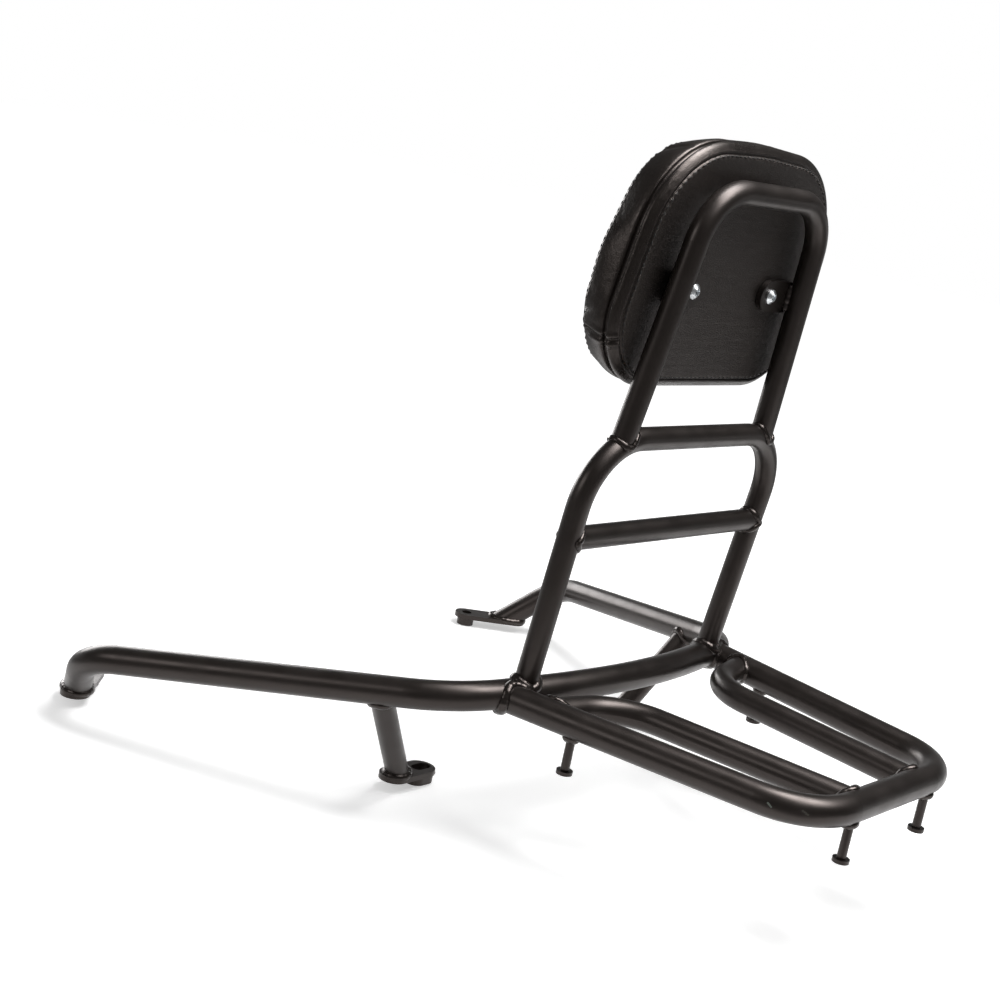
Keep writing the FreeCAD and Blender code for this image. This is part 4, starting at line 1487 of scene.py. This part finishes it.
    def relief(self) -> Array:
        """Height of the cover's seams, folds and gathers over its smooth form.

        A seam is a valley along the rim, or across it at the low corners. The gathers fade from the front seam
        to the crease.

        Returns:
            Heights as rings and points.
        """
        outline = self.outline(self.low, self.back_corners)
        aside = np.abs(outline[:, 0])
        across = self.rim()[1][:, None]
        seam, crease, front = map(self.rim_length, (self.back_seam, self.crease, self.front_seam))
        dash = np.clip(0.4 + self.stitch_wave(BACK_STITCHES, self.back_seam), 0, 1)
        pucker = 1 - self.pucker * self.stitch_wave(FRONT_STITCHES, self.front_seam)
        height = self.back_groove.height(across - seam) + self.crease_fold.height(across - crease)
        height = height + self.thread_bed.height(across - seam + BACK_STITCHES.inset) * dash
        height += self.front_groove.height(across - front) * pucker
        into, out_of = self.cross_fades
        strip = np.clip((across - seam) / into, 0, 1) * np.clip((front - across) / out_of, 0, 1)
        corner = np.abs(outline[:, 1] - self.cross_height) + 1.0 * (aside < self.cross_half)
        cross = self.cross_groove.height(corner) + self.cross_ridge.height(corner - self.cross_ridge_gap)
        height += cross * strip
        low_corners = np.flatnonzero((outline[:, 1] < self.gather_height) & (aside > self.gather_half))
        boxing = np.clip((across - crease) / (front - crease), 0, 1) * (across < front + self.gather_overrun)
        height += self.gathers.height(outline, low_corners, across - front) * np.sqrt(boxing)
        panels = np.zeros((self.panel_rows, self.columns))
        return np.concatenate([panels, height, panels])

    def build(self, finishes: Finishes) -> None:
        """Builds the cover and the stitches of its back and front seams.

        Args:
            finishes: Built materials.
        """
        form = self.smooth_form()
        form = self.swell(form)
        form = form + self.relief()[..., None] * ring_normals(form)
        cover = ring_piece("pad_cover", form)
        add_piece(cover, finishes.leatherette)
        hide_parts("pad_cushion")
        normals = ring_normals(form)
        for row, place in ((BACK_STITCHES, self.back_seam), (FRONT_STITCHES, self.front_seam)):
            ring = self.panel_rows + self.stitch_row(row, place)
            row.build(form[ring], normals[ring], finishes.thread)

    def dress(self, nodes: dict[str, Object], finishes: Finishes) -> None:
        """Finishes the cushion, the board, the tee nuts and the screws.

        Args:
            nodes: CAD nodes by name.
            finishes: Built materials.
        """
        dress_node(nodes["pad_cushion"], finishes.leatherette)
        dress_node(nodes["pad_backboard"], finishes.plywood)
        for side in Side:
            for piece in ("tee_nut", "pad_screw"):
                dress_node(nodes[side.named(piece)], finishes.zinc)


# Studio


RACK_MIDDLE = (0.0, 0.0, 0.15)


@dataclass(frozen=True)
class SoftLamp:
    """Oblong soft lamp aimed at the rack."""

    name: str
    place: Triple
    size: Span
    power: float

    def build(self) -> None:
        """Adds the lamp, hidden from the camera itself."""
        lamp = bpy.data.lights.new(self.name, "AREA")
        lamp.shape = "RECTANGLE"
        lamp.size, lamp.size_y = self.size
        lamp.energy = self.power
        holder = bpy.data.objects.new(self.name, lamp)
        back = unit(np.array(self.place) - RACK_MIDDLE)
        holder.matrix_world = placed(*square_axes(back), back, self.place)
        holder.visible_camera = False
        bpy.context.collection.objects.link(holder)
        LOG.info("lamp %s", self.name)


@dataclass(frozen=True)
class PaintedHighlightCard:
    """Painted highlight: a glowing oval card aimed at the rack, no lamp, that only glossy surfaces mirror."""

    name: str
    place: Triple
    half: Span
    level: float

    def rings(self) -> Array:
        """Rings of the card from its middle to its edge.

        A point at an angle t and a share lies at place + share * (cos(t) * first half size * first axis +
        sin(t) * second half size * second axis), where the axes are square to the aim.

        Returns:
            Points as rings, points and coordinates.
        """
        first, second = square_axes(unit(np.array(self.place) - RACK_MIDDLE))
        spokes = circle(self.half[0] * first, self.half[1] * second, 48)
        return self.place + np.linspace(0.02, 1, 6)[:, None, None] * spokes


@dataclass(frozen=True)
class Studio:
    """White studio: the photograph's camera, a pale floor, soft lamps and a white surround."""

    camera_place: Triple = (-1.0050, -0.7361, 0.4774)
    azimuth: float = -51.72
    elevation: float = 12.91
    roll: float = 11.26
    lens: float = 63.567
    sensor: float = 36.0
    nearest: float = 0.01
    floor_level: float = -0.0004
    floor_half: float = 6.0
    floor_colour: tuple[float, ...] = (0.86, 0.86, 0.86, 1.0)
    floor_roughness: float = 0.9
    floor_specular: float = 0.1
    floor_fade: Span = (0.35, 1.1)
    floor_lift: Span = (0.45, 0.80)
    surround: float = 0.30
    shade_colour: tuple[float, ...] = (0.01, 0.01, 0.01, 1.0)
    shade_points: int = 72
    # Painted dark reflection overhead: a dim sheet that only glossy rays meet.
    canopy_radius: float = 3.5
    canopy_edge: Span = (0.0, 10.0)
    painted_dark_canopy_glow: float = 0.10
    # Painted dark reflection on the floor: a dim sheet that only glossy rays meet.
    skirt_edge: Span = (0.42, 0.85)
    skirt_turn: Span = (70.0, 40.0)
    skirt_lift: float = 0.003
    painted_dark_skirt_glow: float = 0.25
    open_floor: float = 100.0
    # Painted highlights: each is a glowing card that only glossy rays meet.
    painted_highlights: tuple[PaintedHighlightCard, ...] = (
        PaintedHighlightCard("studio_front_card", (0.47, 1.75, 0.45), (0.75, 0.35), 7.0),
        PaintedHighlightCard("studio_top_card", (0.12, -0.55, 1.62), (0.86, 0.50), 8.5),
    )
    lamps: tuple[SoftLamp, ...] = (
        SoftLamp("overhead_lamp", (0.2, -0.42, 1.5), (1.0, 0.6), 22.0),
        SoftLamp("left_lamp", (-1.7, 0.5, 0.9), (0.6, 0.9), 5.0),
    )

    def build(self) -> None:
        """Adds the camera, floor, surround, painted reflections and lamps."""
        self.add_camera()
        self.add_floor()
        self.add_surround()
        # Painted dark reflection overhead.
        self.add_painted_reflection("studio_canopy", self.canopy(), self.painted_dark_canopy_glow)
        # Painted dark reflection on the floor.
        self.add_painted_reflection("studio_skirt", self.skirt(), self.painted_dark_skirt_glow)
        # Each card is a painted highlight that glows only in glossy reflections.
        for card in self.painted_highlights:
            self.add_painted_reflection(card.name, card.rings(), card.level)
        for lamp in self.lamps:
            lamp.build()
        bpy.context.scene.view_settings.view_transform = "Standard"

    def add_camera(self) -> None:
        """Adds the camera from its azimuth, elevation and roll.

        Back points from the rack to the camera, right is level, up is back crossed with right, and the roll
        turns right and up about back.
        """
        elevation, roll = math.radians(self.elevation), math.radians(self.roll)
        back = math.cos(elevation) * level_direction(self.azimuth - 90) + math.sin(elevation) * UP
        level = level_direction(self.azimuth)
        up = np.cross(back, level)
        right = level * math.cos(roll) + up * math.sin(roll)
        turned_up = up * math.cos(roll) - level * math.sin(roll)
        data = bpy.data.cameras.new("photo_camera")
        data.lens, data.sensor_width, data.clip_start = self.lens, self.sensor, self.nearest
        camera = bpy.data.objects.new("photo_camera", data)
        camera.matrix_world = placed(right, turned_up, back, self.camera_place)
        bpy.context.collection.objects.link(camera)
        bpy.context.scene.camera = camera
        LOG.info("camera at %s", self.camera_place)

    def add_floor(self) -> None:
        """Adds the pale floor, which shows white to the camera and in reflections but keeps its shadow."""
        signs = np.array([[-1, -1], [1, -1], [1, 1], [-1, 1]])
        corners = np.column_stack([self.floor_half * signs, np.full(4, self.floor_level)])
        floor = mesh_piece("studio_floor", corners, [[0, 1, 2, 3]])
        shader = Shader(bpy.data.materials.new("floor_paper"))
        distance = shader.add("VectorMath", {0: shader.place}, operation="LENGTH").outputs["Value"]
        fade = shader.spread(distance, self.floor_fade, self.floor_lift)
        floor.data.materials.append(shader.finish({
            "Base Color": self.floor_colour,
            "Roughness": self.floor_roughness,
            "Specular IOR Level": self.floor_specular,
            "Emission Color": WHITE,
            "Emission Strength": shader.times(shader.seen(), fade),
        }))
        LOG.info("floor %s", floor.name)

    def canopy(self) -> Array:
        """Rings of a painted dark reflection over the camera's side: a dim sheet that only glossy rays meet,
        standing in for the dark of a studio.

        It is a sphere's part: a point at an azimuth and a share lies at an elevation that goes from the low
        edge to straight up. The low edge is lowest at the camera's azimuth and highest opposite it.

        Returns:
            Points as rings, points and coordinates.
        """
        around = circle(*np.eye(3)[:2], self.shade_points)
        middle, swing = self.canopy_edge
        low = np.radians(middle - swing * (around @ level_direction(self.azimuth - 90)))
        elevation = low + np.linspace(0, 0.98, 16)[:, None] * (np.pi / 2 - low)
        return self.canopy_radius * (np.cos(elevation)[..., None] * around + np.sin(elevation)[..., None] * UP)

    def skirt(self) -> Array:
        """Rings of a painted dark reflection on the floor: a dim sheet that only glossy rays meet, standing in
        for the floor beyond a paper sheet.

        A point at an azimuth and a share lies between the skirt's inner edge and the canopy's radius. The inner
        edge runs further out where the floor is open, behind the rack's right side.

        Returns:
            Points as rings, points and coordinates.
        """
        around = circle(*np.eye(3)[:2], self.shade_points)
        aside = around @ level_direction(self.azimuth - 90 + self.open_floor)
        inner = np.interp(aside, np.cos(np.radians(self.skirt_turn)), self.skirt_edge)
        radius = inner + np.linspace(0, 1, 8)[:, None] * (self.canopy_radius - inner)
        return radius[..., None] * around + (self.floor_level + self.skirt_lift) * UP

    def add_painted_reflection(self, name: str, rings: Array, glow: float) -> None:
        """Adds a painted reflection: an open, glowing surface of closed rings that only glossy rays meet.

        Args:
            name: Object's name.
            rings: Points as rings, points and coordinates.
            glow: Brightness that it shows.
        """
        count, points = rings.shape[:2]
        faces = ring_faces(count, points, False)[: (count - 1) * points]
        shade = mesh_piece(name, rings.reshape(-1, 3), faces)
        shade.data.materials.append(Shader(bpy.data.materials.new(f"{name}_cloth")).finish({
            "Base Color": self.shade_colour,
            "Roughness": 1.0,
            "Specular IOR Level": 0.0,
            "Emission Color": WHITE,
            "Emission Strength": glow,
        }))
        # Hidden from all but glossy rays, so it shows only as a painted reflection.
        for rays in ("camera", "diffuse", "transmission", "volume_scatter", "shadow"):
            setattr(shade, f"visible_{rays}", False)
        LOG.info("shade %s", name)

    def add_surround(self) -> None:
        """Adds the world: white where it is seen or mirrored, dimmer as light."""
        world = bpy.data.worlds.new("white_surround")
        bpy.context.scene.world = world
        shader = Shader(world, "Background")
        strength = shader.spread(shader.seen(), (0.0, 1.0), (self.surround, 1.0))
        shader.finish({"Color": WHITE, "Strength": strength})
        LOG.info("surround %s", world.name)


def main() -> None:
    """Builds the studio and the rack's sub-assemblies."""
    logging.basicConfig(level=logging.INFO, format="%(message)s")
    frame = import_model()
    Studio().build()
    line = BackrestLine()
    finishes = Finishes(
        coat=PowderCoat("powder_coat").build(),
        chipped_coat=PowderCoat("chipped_powder_coat", chips=RACK_CHIPS).build(),
        weld=PowderCoat("weld_coat", roughness=(0.24, 0.32)).build(),
        leatherette=Leatherette("leatherette", line).build(),
        thread=BONDED_THREAD.build(),
        zinc=BRIGHT_ZINC.build(),
        plywood=PLYWOOD.build(),
    )
    bow = Bow(line)
    for assembly in (bow, RackDeck(bow), Backrest(bow), BackPad(line)):
        assembly.build(finishes)
        assembly.dress(frame["nodes"], finishes)


if __name__ == "__main__":
    main()
